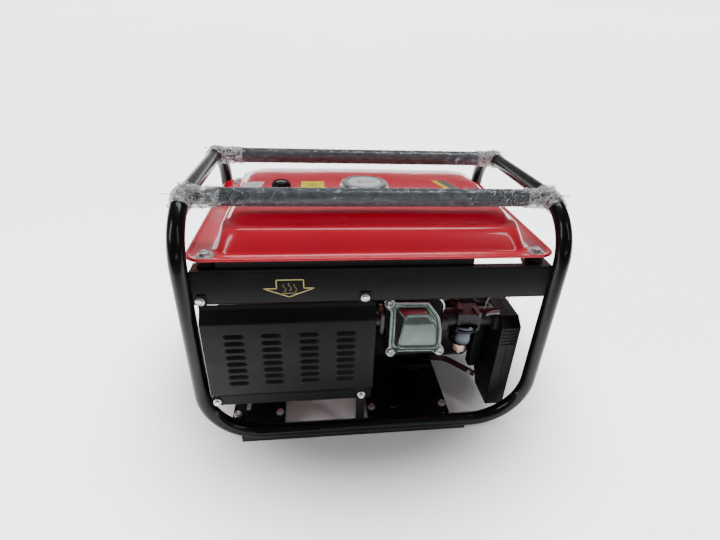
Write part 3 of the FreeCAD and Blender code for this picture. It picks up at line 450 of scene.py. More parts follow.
def build_sleeves():
    cores = []
    strands = []
    random.seed(11)
    for y in (-1, 1):
        centre = Vector((0, y * BAR_Y, BAR_Z))
        line = [Vector((-SLEEVE_HALF + 4 * step, centre.y, centre.z)) for step in range(127)]
        cores.append(sweep("core", line,
                           lambda share, angle: 13.1 + 0.3 * math.sin(60 * share + 3 * angle), 24))
        for hand in (-1, 1):
            for strand in range(STRANDS):
                route = []
                offset = TAU * (strand + 0.12 * random.random()) / STRANDS
                for step in range(211):
                    x = -SLEEVE_HALF + 2.4 * step
                    wave = 0.10 * math.sin(x * 0.05 + strand)
                    turn = offset + hand * (x + SLEEVE_HALF) * TAU / STRAND_PITCH + wave
                    lift = SLEEVE_R - 0.2 + 0.45 * math.sin(x * 0.9 + 2 * strand)
                    route.append(centre + Vector((x, math.cos(turn) * lift, math.sin(turn) * lift)))
                strands.append(sweep("strand", route, STRAND_R, 5))
    wear(join("net_core", cores), "mesh_foam", "bar_sleeves", material=FINISH["net_core"])
    wear(join("net_strands", strands), "mesh_foam", "bar_sleeves", material=FINISH["net_strand"])


def crumpled(name, route, base, swell, seed, count=40, ragged=3.0, squash=1.0):
    """Loose film round a bar: creased, swelling towards its ends, with a ragged edge."""
    def reach(share, angle):
        spot = Vector((math.cos(angle) * 0.9 + seed, math.sin(angle) * 0.9, share * 6.0))
        crease = ridged(spot * 1.3) * 2.1 + ridged(spot * 4.1 + Vector((7, 1, 3))) * 1.0
        return base + crease + swell(share) * (0.6 + 0.8 * abs(noise.noise(spot * 0.8)))
    piece = sweep(name, route, reach, count, sharp=0.25, squash=squash)
    for vertex in piece.data.vertices:
        if ragged:
            spot = vertex.co * 160 + Vector((seed, 0, 0))
            vertex.co += Vector((noise.noise(spot), noise.noise(spot + Vector((5, 2, 9))),
                                 noise.noise(spot + Vector((1, 8, 4))))) * ragged * 0.4 * MM
    work = bmesh.new()
    work.from_mesh(piece.data)
    ends = [face for face in work.faces if len(face.verts) > 4]
    bmesh.ops.delete(work, geom=ends, context="FACES_ONLY")
    work.to_mesh(piece.data)
    work.free()
    return piece


def film_flap(name, root, tip, width, seed):
    """One loose tongue of film from a root to a tip."""
    root, tip = Vector(root), Vector(tip)
    along = tip - root
    across = along.cross(Vector((0.3, 0.5, 1))).normalized()
    rings = []
    for step in range(13):
        share = step / 12
        half = width * (1 - 0.75 * share) * (0.8 + 0.6 * noise.noise(Vector((seed, share * 3, 0))))
        ring = []
        for column in range(9):
            side = column / 4 - 1
            spot = Vector((share * 4 + seed, side * 1.5, seed * 0.3))
            lift = (ridged(spot) - 0.5) * 5.0 * (1 - 0.5 * share)
            ring.append((root + along * share + across * half * side
                         + along.cross(across).normalized() * lift) * MM)
        rings.append(ring)
    return skin(name, rings, around=False, caps=False, sharp=0.2)


def build_film():
    pieces = []
    for x in (-1, 1):
        for y in (-1, 1):
            seed = 3.7 * x + 9.1 * y
            strong = 1.0 if y < 0 else 0.7
            reach = 58 if x < 0 else 46
            bar = [Vector((x * (TUBE_X + 4 - reach + reach * step / 60), y * BAR_Y, BAR_Z))
                   for step in range(61)]
            pieces.append(crumpled("film", bar, 13.6, lambda share: 1.0 + 4.5 * strong * share ** 3, seed))
            arch = [(x * TUBE_X, y * TUBE_Y, 300), (x * TUBE_X, y * TUBE_Y, TOP_Z),
                    (x * TUBE_X, -y * TUBE_Y, TOP_Z)]
            path = dense(arc_route(arch, [UPPER_BEND], 40), 1.5)
            low, high = (100.0, 158.0) if y < 0 else (104.0, 160.0)
            path = [spot for spot in path if low < y * spot.y < high and spot.z > 380]
            pieces.append(crumpled("film", path, 12.9, lambda share: 2.2 * strong * (1 - abs(2 * share - 1)),
                                   seed + 1.3))
            flaps = [((x * 288, y * 134, BAR_Z + 5), (x * 312, y * 143, BAR_Z + 10), 10),
                     ((x * 286, y * 126, BAR_Z + 10), (x * 296, y * 114, BAR_Z + 19), 9),
                     ((x * 268, y * 138, BAR_Z - 5), (x * 258, y * 144, BAR_Z - 13), 10),
                     ((x * 276, y * 132, BAR_Z + 8), (x * 252, y * 138, BAR_Z + 14), 9)]
            for index, (root, tip, width) in enumerate(flaps):
                pieces.append(film_flap("flap", root, tip, width, seed + index * 2.1))
    wear(join("film_ends", pieces), "stretch_film", "film_wraps")


# ---------- tank
def tank_ring(half_x, half_y, corner, z):
    return rounded_ring(half_x, half_y, corner, z, arc=18, side=22)


def build_tank():
    levels = [(281, 192, 22, 353.6), (285.0, 196.0, 26, 352.3), (286.4, 197.4, 27, 353.6),
              (286.4, 197.4, 27, 355.4), (285.2, 196.2, 26, 356.8), (282.5, 193.5, 24, 356.9),
              (280, 191.0, 23, 355.9), (276, 189.6, 22, 355.3), (264, 188.0, 22, 355.2),
              (256, 186.6, 23, 355.3), (251, 184.4, 25, 355.8),
              (247.6, 181.8, 26.5, 357.0), (245.6, 179.8, 27, 359.0), (244.6, 178.6, 27, 361.6),
              (242.6, 175.6, 28, 367.0), (240.8, 172.0, 29, 373.0), (239.0, 167.6, 30, 379.0),
              (237.6, 162.6, 31, 384.4), (236.6, 159.6, 32, 386.8), (235.2, 156.8, 32, 388.2),
              (233.2, 153.6, 32, 388.7), (231.0, 150.2, 32, 389.0), (228.8, 146.6, 32, 389.8),
              (226.8, 142.6, 33, 392.2), (224.2, 137.6, 34, 395.9), (220.8, 132.2, 35, 398.9),
              (215.0, 126.0, 36, 400.8), (206.0, 119.0, 36, 401.8), (184.0, 106.0, 34, 402.2),
              (130.0, 80.0, 30, 402.4), (90.0, 56.0, 24, 402.4), (46.0, 30.0, 14, 402.4),
              (6.0, 4.0, 2, 402.4)]
    rings = [tank_ring(*level) for level in levels]
    shell = skin("tank_top", rings, caps=False, sharp=1.2)
    for vertex in shell.data.vertices:
        x, y, z = vertex.co.x * 1000, vertex.co.y * 1000, vertex.co.z * 1000
        if z > 388:
            rise = min(1.0, (z - 388) / 12)
            crown = max(0.0, 1 - (y / 135) ** 2) * 1.6
            plateau = 1.4 / (1 + math.exp((abs(x + 6) - 84) / 3.0))
            ribs = 0.5 * (1 + math.cos(TAU * (y + 6) / 46)) if abs(y) < 118 else 0.0
            edge = 1 / (1 + math.exp((abs(x) - 192) / 4.0))
            vertex.co.z += rise * (crown + plateau * 0.6 + 0.55 * ribs * edge) * MM
    wear(shell, "tank_paint", "tank_upper_shell")
    neck = lathe("neck", (-5, -6, 398), (0, 0, 1), [(0, 33), (4, 32.5), (6, 29.4), (10, 29.0)], caps=False)
    wear(neck, "tank_paint", "tank_upper_shell")
    lower = []
    for half_x, half_y, corner, z in ((281, 192, 22, 353.4), (281, 192, 22, 352.6), (200, 165, 38, 352.6)):
        lower.append(rounded_ring(half_x, half_y, corner, z, arc=18, side=22))
    for margin, z, corner in ((0, 352.0, 36), (2, 349.0, 36), (12.5, 316.5, 34), (14.5, 313.4, 32),
                              (18, 312.2, 28), (60, 312.0, 14), (150, 312.0, 4)):
        lower.append(rounded_ring(186 - margin, 160 - margin, corner, z, centre=(-36, 0), arc=18, side=22))
    under = skin("tank_under", lower, caps=False, sharp=0.8)
    wear(under, "tank_paint", "tank_lower_shell")
    return shell


def decal(name, surface, outline, material, lift=0.35, width=40, depth=40):
    """Thin sticker laid on a surface: outline maps (u, v) in 0..1 to a place in X and Y."""
    tree = BVHTree.FromObject(surface, bpy.context.evaluated_depsgraph_get())
    rings = []
    for row in range(depth + 1):
        ring = []
        for column in range(width + 1):
            x, y = outline(column / width, row / depth)
            hit = tree.ray_cast(Vector((x, y, 460)) * MM, Vector((0, 0, -1)))[0]
            ring.append(hit + Vector((0, 0, lift * MM)))
        rings.append(ring)
    piece = skin(name, rings, around=False, caps=False, sharp=1.2)
    return wear(piece, "tank_paint", body="frame", material=material)


def slab_outline(x0, x1, y0, y1, slant=0.0):
    return lambda u, v: (x0 + (x1 - x0) * u + slant * v, y0 + (y1 - y0) * v)


def build_decals(tank):
    decal("label_white", tank, slab_outline(-232, -190, -30, 24, 5), FINISH["label_white"])
    decal("label_white_lines", tank, slab_outline(-225, -196, -20, 14, 4), FINISH["label_lines"], lift=0.6)
    decal("label_yellow", tank, slab_outline(-119, -77, -38, 26, 0), FINISH["label_yellow"])
    decal("label_yellow_box", tank, slab_outline(-106, -92, -4, 14, 0), FINISH["label_edge"], lift=0.6)
    decal("label_stripe", tank, slab_outline(150, 178, -32, 38, -20), FINISH["label_stripes"])


# ---------- cap, gauge and bolts
CAP_FOOT, CAP_TOP = span("fuel_cap")[0].z, span("fuel_cap")[1].z
CAP_MIDDLE = middle("fuel_cap")
GAUGE_MIDDLE = middle("gauge_housing")


def build_cap():
    x, y = CAP_MIDDLE.x, CAP_MIDDLE.y
    cap = lathe("cap", (x, y, CAP_FOOT), (0, 0, 1),
                [(0.2, 40.8), (0, 44.2), (0.5, 44.5), (4.6, 44.5), (5.6, 44.1), (6.6, 43.0), (7.4, 42.4),
                 (9.6, 42.0), (10.9, 41.2), (11.9, 39.4), (12.4, 37.2), (12.5, 34), (12.2, 31.0),
                 (12.2, 4)], 96)
    wear(cap, "cap_metal", "fuel_cap")
    disc = lathe("cap_disc", (x, y, CAP_TOP - 0.5), (0, 0, 1), [(0, 29.6), (0.5, 29.5), (0.55, 2)], 72)
    wear(disc, "cap_metal", "fuel_cap", material=FINISH["label_white"])
    marks = []
    for x0, x1, y0, y1 in ((-13, -7, -8, 4), (-6, -4, -6, 0), (-11, -9, 9, 15), (7, 17, -7, -6),
                           (7, 15, -3, -2), (8, 17, 1, 2), (7, 14, 5, 6), (2, 4, -8, 6)):
        marks.append(box_piece("mark", x + x0, x + x1, y + y0, y + y1, CAP_TOP, CAP_TOP + 0.25, 0.05))
    wear(join("cap_marks", marks), "cap_metal", "fuel_cap", material=FINISH["mark_grey"])


def build_gauge():
    x, y = GAUGE_MIDDLE.x, GAUGE_MIDDLE.y
    bezel = lathe("gauge_bezel", (x, y, 400), (0, 0, 1),
                  [(-2, 17.5), (3, 17.4), (4, 16.0), (12.0, 15.4), (14.4, 14.4), (15.6, 12.8), (16.0, 11.4),
                   (15.0, 10.6), (12.6, 10.2)], 56, caps=False)
    wear(bezel, "black_plastic", "gauge_housing")
    ribs = []
    for step in range(28):
        turn = TAU * step / 28
        start = (x + 15.2 * math.cos(turn), y + 15.2 * math.sin(turn), 404.0)
        ribs.append(lathe("rib", start, (0, 0, 1), [(0, 0.9), (0.4, 1.1), (7.4, 1.1), (8.2, 0.6)], 8))
    wear(join("gauge_ribs", ribs), "black_plastic", "gauge_housing")
    dome = [(0, 10.6), (1.6, 10.4), (2.6, 8.4), (3.2, 4.6), (3.35, 1)]
    lens = lathe("gauge_lens", (x, y, 412.4), (0, 0, 1), dome, 48)
    wear(lens, "black_plastic", "gauge_housing", material=FINISH["smoke"])


def hex_head(start, axis, head_r, head, washer_r=0.0, washer=1.6):
    """Flange bolt head with chamfered corners, in millimetres."""
    side, up = frame_along(axis)
    axis = Vector(axis).normalized()
    start = Vector(start)
    count = 48
    rings = []
    for share, scale in ((0, 1.0), (0.72, 1.0), (0.92, 0.94), (1, 0.84), (0.9, 0.58)):
        reach = head * share
        ring = []
        for index in range(count):
            angle = TAU * index / count
            flat = head_r * math.cos(math.pi / 6) / math.cos((angle % (math.pi / 3)) - math.pi / 6)
            radius = min(flat, head_r * 1.2 * scale) if scale < 1 else flat
            radius = min(radius, head_r * (0.6 + 0.4 * scale))
            arm = side * math.cos(angle) + up * math.sin(angle)
            ring.append((start + axis * reach + arm * radius) * MM)
        rings.append(ring)
    pieces = [skin("hex", rings, sharp=0.5)]
    if washer_r:
        low = -washer
        profile = [(low, washer_r - 0.4), (low + 0.3, washer_r), (low + 0.9, washer_r),
                   (0.3, washer_r * 0.93), (0.8, head_r * 1.02), (1.2, head_r * 0.7)]
        pieces.append(lathe("washer", start, axis, profile, 48))
    return pieces


def build_bolts():
    pieces = []
    for x in (-256, 256):
        for y in (-180, 180):
            pieces += hex_head((x, y, 356.6), (0, 0, 1), 7.5, 5.5, 13.5)
    for x in (COVER_X0 + 4, COVER_X1 - 17.5):
        for z in (295, 94):
            pieces += hex_head((x, PANEL_FACE - 3.2, z), (0, -1, 0), 5.2, 3.6, 7.2)
    for x0, x1, mount_x in ((-251, -157, -204), (-4, 151, 106)):
        for x in (x0 + 9, x1 - 9):
            for y in (-178, 178):
                pieces += hex_head((x, y, 29.5), (0, 0, 1), 5.5, 4, 7.5)
        for y in (-62, 62):
            pieces += hex_head((mount_x, y, 25), (0, 0, -1), 7.5, 5)
    wear(join("hex_bolts", pieces), "zinc", "frame_screws")


# ---------- muffler cover and panels
COVER_X0, COVER_X1 = (corner.x for corner in span("muffler_cover"))
COVER_FACE = span("muffler_cover")[0].y - 0.1
PANEL_FACE = span("front_panel")[0].y
PAINT_Y = PANEL_FACE - 0.45
LOUVRES = 8
HOOD = ((7.4, -0.2), (6.4, 0.3), (4.6, 1.3), (2.4, 2.3), (0.6, 2.9), (-0.6, 3.0), (-1.2, 2.6), (-1.2, 1.2))


def build_cover():
    x0, x1 = COVER_X0, COVER_X1
    outline = [(-209.7, 287.7), (-209.9, 287.2), (-209.9, 281), (-210.6, 278.6), (-222.6, 264.6),
               (-223.7, 262.6), (COVER_FACE, 260), (COVER_FACE, 125), (-223.7, 122.4), (-222.6, 120.4),
               (-210.8, 107.4), (-210, 105.2), (-209.9, 103), (-209.9, 87), (-209.7, 86)]
    rings = []
    for x, inset in ((x0, 1.2), (x0 + 0.3, 0.4), (x0 + 1.2, 0), (x1 - 1.2, 0), (x1 - 0.3, 0.4), (x1, 1.2)):
        rings.append([Vector((x, y + inset, z)) * MM for y, z in outline]
                     + [Vector((x, y + 1.3, z)) * MM for y, z in reversed(outline)])
    pieces = [skin("cover", rings, sharp=0.5)]
    for x in (x0, x1):
        inner = 1 if x == x0 else -1
        side = [Vector((x + inner * 0.2, y, z)) * MM for y, z in outline]
        back = [Vector((x + inner * 0.2, -208.2, z)) * MM for y, z in outline]
        pieces.append(skin("cheek", [side, back], around=False, caps=False))
    for low, high in ((COVER_X0, COVER_X0 + 13), (COVER_X1 - 26.5, COVER_X1 - 8.5)):
        pieces.append(box_piece("ear", low, high, -209.8, -208.2, 286.0, 305.0, 0.5))
    wear(join("cover_shell", pieces), "panel_paint", "muffler_cover", material=FINISH["cover_paint"])
    hoods = []
    slot_shades = []
    for column in (-222.0, -166.0, -108.0, -50.0):
        for row in range(LOUVRES):
            z = 143.0 + row * 13.3
            rings = []
            for step in range(13):
                across = step / 6 - 1
                tall = math.sqrt(max(0.0, 1 - across ** 6))
                x = column + 16.5 * across
                rings.append([Vector((x, COVER_FACE - out * tall, z + 0.6 + (rise - 0.6) * tall)) * MM
                              for rise, out in HOOD])
            hoods.append(skin("hood", rings, around=False, caps=False, sharp=0.9))
            # painted shade: a flat near-black plate across each louvre's opening stands in for the shade
            # inside it
            slot_shades.append(box_piece("slot", column - 15.6, column + 15.6, COVER_FACE - 0.25, COVER_FACE + 0.2,
                                   z - 3.4, z - 0.4, 0.1))
    wear(join("louvre_hoods", hoods), "panel_paint", "muffler_cover", material=FINISH["cover_paint"])
    wear(join("louvre_slot_shades", slot_shades), "panel_paint", "muffler_cover", material=FINISH["dark"])


def stroke(name, points, width, y):
    """Flat painted line standing on a plane of constant Y."""
    pieces = []
    for first, last in zip(points, points[1:]):
        a, b = Vector((first[0], 0, first[1])), Vector((last[0], 0, last[1]))
        along = (b - a).normalized()
        across = Vector((-along.z, 0, along.x)) * width / 2
        a, b = a - along * width / 2, b + along * width / 2
        ring = [(spot + Vector((0, y, 0))) * MM for spot in (a - across, a + across, b + across, b - across)]
        pieces.append(mesh_object(name, ring, [(0, 1, 2, 3)]))
    return pieces


def build_arrow():
    shape = [(-153.5, 328), (-113.6, 328), (-113.6, 313.5), (-97.7, 313.5), (-135.6, 298.8), (-172.6, 313.5),
             (-153.5, 313.5), (-153.5, 328)]
    edge = join("arrow_edge", stroke("arrow", shape, 1.5, PAINT_Y))
    wear(edge, "panel_paint", material=FINISH["arrow_yellow"])
    symbol = []
    for x in (-142, -134, -126):
        foot = 310 if x == -134 else 308
        wave = [(x + 2.0 * math.sin(step * 0.9), foot + step * 2.0) for step in range(7)]
        symbol += stroke("wave", wave, 1.3, PAINT_Y)
    symbol += stroke("base", [(-145, 305), (-124, 305)], 1.3, PAINT_Y)
    wear(join("arrow_symbol", symbol), "panel_paint", material=FINISH["symbol_brown"])


def build_panels():
    corner, far = span("front_panel")
    face, back, end, low, high = -corner.y, -far.y, far.x, corner.z, far.z
    ledge = face - 14
    for side, node in ((-1, "front_panel"), (1, "rear_panel")):
        rings = []
        for x, depth in ((-end, back), (-234, back), (-230, ledge), (230, ledge), (234, back), (end, back)):
            outline = [(face, low), (face, high - 2.8), (face - 0.6, high - 0.8), (face - 2.2, high + 0.3),
                       (face - 5, high + 0.5), (depth, high + 0.5), (depth, high - 1), (face - 5, high - 1),
                       (face - 2.8, high - 1.5), (face - 1.8, high - 3), (face - 1.5, high - 6),
                       (face - 1.5, low)]
            rings.append([Vector((x, side * y, z)) * MM for y, z in outline])
        wear(skin(node + "_sheet", rings, sharp=0.45), "panel_paint", node)
        # painted shade: a black strip in the gap under the tank flange, x -240 to 150, stands in for the
        # shade hiding the tank's red underside there
        inner, outer = sorted((side * 192, side * 196))
        shade_strip = box_piece("gap_shade_strip", -240, 150, inner, outer, high + 0.6, 352.4, 0.8)
        wear(shade_strip, "rubber")
        edge = [Vector((x, side * (face - 0.8), low + 0.6)) for x in (-end, -100, 100, end)]
        wear(sweep("lip", edge, 1.0, 10), "panel_paint")


# ---------- engine
CRANK_Z = round(JOINT_PLACE["crank_spin"][2] / MM, 1)
CYLINDER_X = 72
CYLINDER_TILT = math.radians(65)            # from upright, towards -Y


def on_cylinder(u, v, w):
    """Place in millimetres of a point given across, up and along the cylinder."""
    over, high = math.sin(CYLINDER_TILT), math.cos(CYLINDER_TILT)
    return Vector((CYLINDER_X + u, v * high - w * over, CRANK_Z + v * over + w * high))


def polar_outline(points, ears, centre, count=160, soften=3):
    """Distance from the centre to a polygon with round ears, at equal angles."""
    reach = []
    for index in range(count):
        angle = TAU * index / count
        ray = Vector((math.cos(angle), math.sin(angle)))
        best = 0.0
        for first, last in zip(points, points[1:] + points[:1]):
            a = Vector(first) - Vector(centre)
            edge = Vector(last) - Vector(first)
            cross = ray.x * edge.y - ray.y * edge.x
            if abs(cross) > 1e-9:
                far = (a.x * edge.y - a.y * edge.x) / cross
                share = (a.x * ray.y - a.y * ray.x) / cross
                if far > 0 and 0 <= share <= 1:
                    best = max(best, far)
        reach.append(best)
    for _ in range(soften):
        reach = [(reach[index - 1] + 2 * reach[index] + reach[(index + 1) % count]) / 4
                 for index in range(count)]
    for index in range(count):
        angle = TAU * index / count
        ray = Vector((math.cos(angle), math.sin(angle)))
        for x, y, radius in ears:
            ear = Vector((x, y)) - Vector(centre)
            closest = ear.dot(ray)
            off = ear.length_squared - closest ** 2
            if closest > 0 and off < radius ** 2:
                reach[index] = max(reach[index], closest + math.sqrt(radius ** 2 - off))
    return reach


def cover_ring(points, ears, centre, height, grow=0.0, soften=3, scale=1.0, lean=None):
    reach = polar_outline(points, ears, centre, soften=soften)
    ring = []
    for index, far in enumerate(reach):
        angle = TAU * index / len(reach)
        u = centre[0] + math.cos(angle) * (far + grow) * scale
        v = centre[1] + math.sin(angle) * (far + grow) * scale
        ring.append(on_cylinder(u, v, height + (lean(v) if lean else 0.0)) * MM)
    return ring


def build_valve_cover():
    centre = (2.0, 0.0)
    rim = [(-46, -44), (47, -46), (50, -8), (47, 14), (28, 41), (-41, 42)]
    ears = [(-43, 40, 8.8), (-42, -44, 9.0), (45, -45, 9.0)]
    inner = [(-39, -38), (41, -40), (43.5, -6), (40.5, 12), (24, 35), (-34, 36)]
    foot = [(-35, -36), (39, -38), (41, -6), (38.5, 11), (22.5, 33), (-31.5, 33.5)]
    top = [(-33.5, -34), (37.5, -36), (38, -8), (32, 10), (21, 22.5), (-15, 22.5), (-20, 16)]
    face = [(-31, -31.5), (35, -33), (35.6, -7), (29.8, 8.8), (19.4, 19.8), (-13.6, 19.8), (-17.6, 14.4)]

    def lean(v):
        return -0.10 * (v - 6) if v > 6 else 0.02 * (6 - v)

    base = 182.4
    rings = [cover_ring(rim, ears, centre, base), cover_ring(rim, ears, centre, base + 5.6),
             cover_ring(rim, ears, centre, base + 6.8, -0.9), cover_ring(inner, [], centre, base + 6.9, 1.6),
             cover_ring(inner, [], centre, base + 6.3), cover_ring(inner, [], centre, base + 4.0, -1.0),
             cover_ring(foot, [], centre, base + 4.0, -0.4), cover_ring(foot, [], centre, base + 6.5, -1.4),
             cover_ring(top, [], centre, base + 20.6, 1.4, lean=lean),
             cover_ring(top, [], centre, base + 22.4, 0.5, lean=lean),
             cover_ring(top, [], centre, base + 22.8, -0.9, lean=lean),
             cover_ring(face, [], centre, base + 22.2, 0.4, lean=lean),
             cover_ring(face, [], centre, base + 21.7, -1.2, lean=lean)]
    for share in (0.93, 0.85, 0.75, 0.62, 0.48, 0.32, 0.16, 0.02):
        rings.append(cover_ring(face, [], centre, base + 21.7, -1.2, scale=share, lean=lean))
    cover = skin("valve_cover_cast", rings, caps=False, sharp=0.7)
    wear(cover, "cover_aluminium", "valve_cover")
    bolts = []
    outward = on_cylinder(0, 0, 1) - on_cylinder(0, 0, 0)
    for u, v in ((-43, 40), (-42, -44), (45, -45)):
        bolts += hex_head(on_cylinder(u, v, base + 8.0), outward, 4.8, 4.4, 6.4, 1.0)
    wear(join("cover_bolts", bolts), "zinc", "valve_cover_bolts")


def build_carburettor():
    x, y = middle("carb_bowl").x, middle("carb_bowl").y
    bowl_profile = [(2.0, 3), (1.6, 12.5), (1.8, 15.5), (2.8, 19.6), (5.0, 22.6), (8.4, 23.9), (14, 24.2),
                    (20, 23.8), (28, 23.4), (38, 24.0), (42, 25.0), (43.4, 28.4), (48.0, 28.8), (49.6, 27.2),
                    (49.0, 22)]
    bowl = lathe("bowl", (x, y, 150), (0, 0, 1), bowl_profile, 96)
    wear(bowl, "bowl_steel", "carb_bowl")
    coil_profile = [(9.0, 6), (9.2, 10.6), (10, 11.6), (12, 12.0), (24.0, 12.0), (25.4, 11.4), (26.4, 9.6),
                    (29.6, 9.2)]
    coil = lathe("solenoid", (x, y, 122), (0, 0, 1), coil_profile, 64)
    wear(coil, "solenoid_brass", "fuel_solenoid")
    nut = hex_head((x, y, 131.2), (0, 0, -1), 6.2, 5.4)
    nut.append(lathe("tip", (x, y, 126), (0, 0, -1), [(0, 3.2), (3.2, 3.2), (4.2, 2.2)], 24))
    wear(join("solenoid_nut", nut), "zinc", "fuel_solenoid")
    refined("carburettor_body", 1.2)
    for node in ("choke_lever", "throttle_lever"):
        refined(node, 0.4).data.materials[0] = FINISH["dark_zinc"]


def build_plug_corner():
    """Pressed bracket beside the plug and the thin wires looped over the air cleaner."""
    rings = []
    for step in range(17):
        turn = math.radians(-35 + 110 * step / 16)
        reach = 19.0
        centre = Vector((118, -147, 231))
        spot = centre + Vector((math.cos(turn) * reach * 0.62, -2, math.sin(turn) * reach))
        ring = [(spot + Vector((math.cos(turn) * out * 0.62, deep, math.sin(turn) * out))) * MM
                for out, deep in ((-3.4, 0), (0.6, 0), (0.6, 11), (-1.0, 11), (-1.0, 1.2), (-3.4, 1.2))]
        rings.append(ring)
    wear(skin("plug_shield", rings), "zinc", material=FINISH["dull_zinc"])
    wires = []
    loops = [[(206, -146, 222), (204, -150, 246), (220, -150, 257), (240, -142, 252), (250, -130, 238),
              (246, -120, 224)],
             [(210, -140, 224), (212, -142, 250), (232, -140, 262), (252, -136, 248), (258, -128, 226)]]
    for loop in loops:
        route = dense(arc_route(loop, [8.0] * (len(loop) - 2), 8), 4)
        wires.append(sweep("wire", route, 0.85, 8))
    return wires


def build_cleaner():
    for node in ("air_cleaner_case", "air_cleaner_cover"):
        refined(node, 3.2)
    case, cover = span("air_cleaner_case")[0], span("air_cleaner_cover")[1]
    neck = box_piece("cleaner_neck", case.x - 23, case.x + 1, -124, -101, 70, cover.z - 18, 5.0)
    wear(neck, "black_plastic")
    ribs = []
    for step in range(6):
        low = cover.z - 54 + 7.2 * step
        ribs.append(box_piece("rib", case.x + 3.5, cover.x - 5.5, case.y - 1, case.y + 0.4,
                              low, low + 3.4, 0.5))
    wear(join("cleaner_ribs", ribs), "black_plastic")
    # painted shade: a near-black sheet just behind the cleaner's slots stands in for the shade inside them
    shade_sheet = box_piece("slot_shade_sheet", cover.x - 15.5, cover.x - 2.7, case.y + 2.6, case.y + 3.2,
                        cover.z - 52, cover.z - 14, 0.1)
    wear(shade_sheet, "black_plastic", material=FINISH["dark"])
    # partly painted glint: this short pipe's pale grey-blue, paler than the black round it, stands in for
    # the glint there as well as its own metal
    route = dense(arc_route([(199, -146, 205), (214, -152, 219), (229, -160, 226)], [14], 8), 2)
    glint = sweep("cleaner_pipe", route, lambda share, angle: 3.6 + 0.5 * math.sin(share * 9), 16)
    wear(glint, "zinc", material=FINISH["bright_pipe"])
    route = arc_route([(140, -66, 50), (176, -72, 50), (222, -123, 50)], [30], 10)
    rings = []
    for index, spot in enumerate(route):
        before = route[max(0, index - 1)]
        after = route[min(len(route) - 1, index + 1)]
        along = (after - before).normalized()
        side = along.cross(Vector((0, 0, 1)))
        rings.append([(spot + side * out + Vector((0, 0, rise))) * MM
                      for out, rise in ((1.6, -6.5), (1.6, 6.5), (-1.6, 6.5), (-1.6, -6.5))])
    wear(bevel(skin("strip", rings), 0.5), "bracket_paint", "cleaner_bracket")
    foot = box_piece("bracket_foot", 126, 152, -72, -50, 47.3, 50.4, 0.5)
    wear(foot, "bracket_paint", "cleaner_bracket")
    wear(join("bracket_screw", hex_head((214, -118, 52), (0.55, -0.83, 0), 5.4, 4.4, 7.0)), "zinc")


# ---------- finishes
def film_material():
    """Creased clear film: milky along its creases, nearly clear between them."""
    shade = Shader("film")
    fine = shade.noise(170.0, 5.0, 0.62, stretch=(0.45, 1.0, 1.0))
    broad = shade.noise(70.0, 4.0, 0.55)
    crease = shade.remap(shade.maths("ABSOLUTE", shade.maths("SUBTRACT", broad, 0.5)), 0.0, 0.06, 1.0, 0.0)
    milky = shade.remap(fine, 0.38, 0.66, 0.0, 0.8)
    bright = shade.maths("MAXIMUM", crease, milky)
    colour = shade.mix(bright, (0.22, 0.22, 0.23, 1), (0.8, 0.81, 0.82, 1))
    shade.set(Base_Color=colour, Roughness=0.25, Alpha=shade.remap(bright, 0.0, 1.0, 0.25, 0.88),
              Normal=shade.bump(broad, 0.8, 0.003), Specular_IOR_Level=0.7, Coat_Weight=0.5,
              Coat_Roughness=0.1)
    return shade.material


def stripes_material():
    """Slanting yellow, black and white bands."""
    shade = Shader("label_stripes")
    parts = shade.node("ShaderNodeSeparateXYZ", _0=shade.place)
    along = shade.maths("ADD", parts.outputs[0], shade.maths("MULTIPLY", parts.outputs[1], 0.286))
    across = shade.remap(along, 0.1409, 0.1689, 0.0, 1.0)
    dark = shade.remap(across, 0.36, 0.38, 0.0, 1.0)
    lines = shade.maths("FRACT", shade.maths("MULTIPLY", across, 6.0))
    pale = shade.maths("MULTIPLY", shade.remap(lines, 0.78, 0.8, 0.0, 1.0), dark)
    colour = shade.mix(dark, (0.9, 0.66, 0.0, 1), (0.02, 0.02, 0.02, 1))
    colour = shade.mix(pale, colour, (0.6, 0.58, 0.5, 1))
    wear_noise = shade.remap(shade.noise(60.0), 0.3, 0.7, 0.28, 0.4)
    shade.set(Base_Color=colour, Roughness=wear_noise)
    return shade.material


def lined_material():
    """Pale label with rows of faint grey lines."""
    shade = Shader("label_lines")
    parts = shade.node("ShaderNodeSeparateXYZ", _0=shade.place)
    band = shade.maths("FRACT", shade.maths("MULTIPLY", parts.outputs[1], 190.0))
    breaks = shade.remap(shade.noise(240.0, 1.0), 0.45, 0.5, 0.0, 1.0)
    ink = shade.maths("MULTIPLY", shade.remap(band, 0.5, 0.6, 0.0, 1.0), breaks)
    shade.set(Base_Color=shade.mix(ink, (0.74, 0.74, 0.76, 1), (0.3, 0.3, 0.33, 1)), Roughness=0.35)
    return shade.material


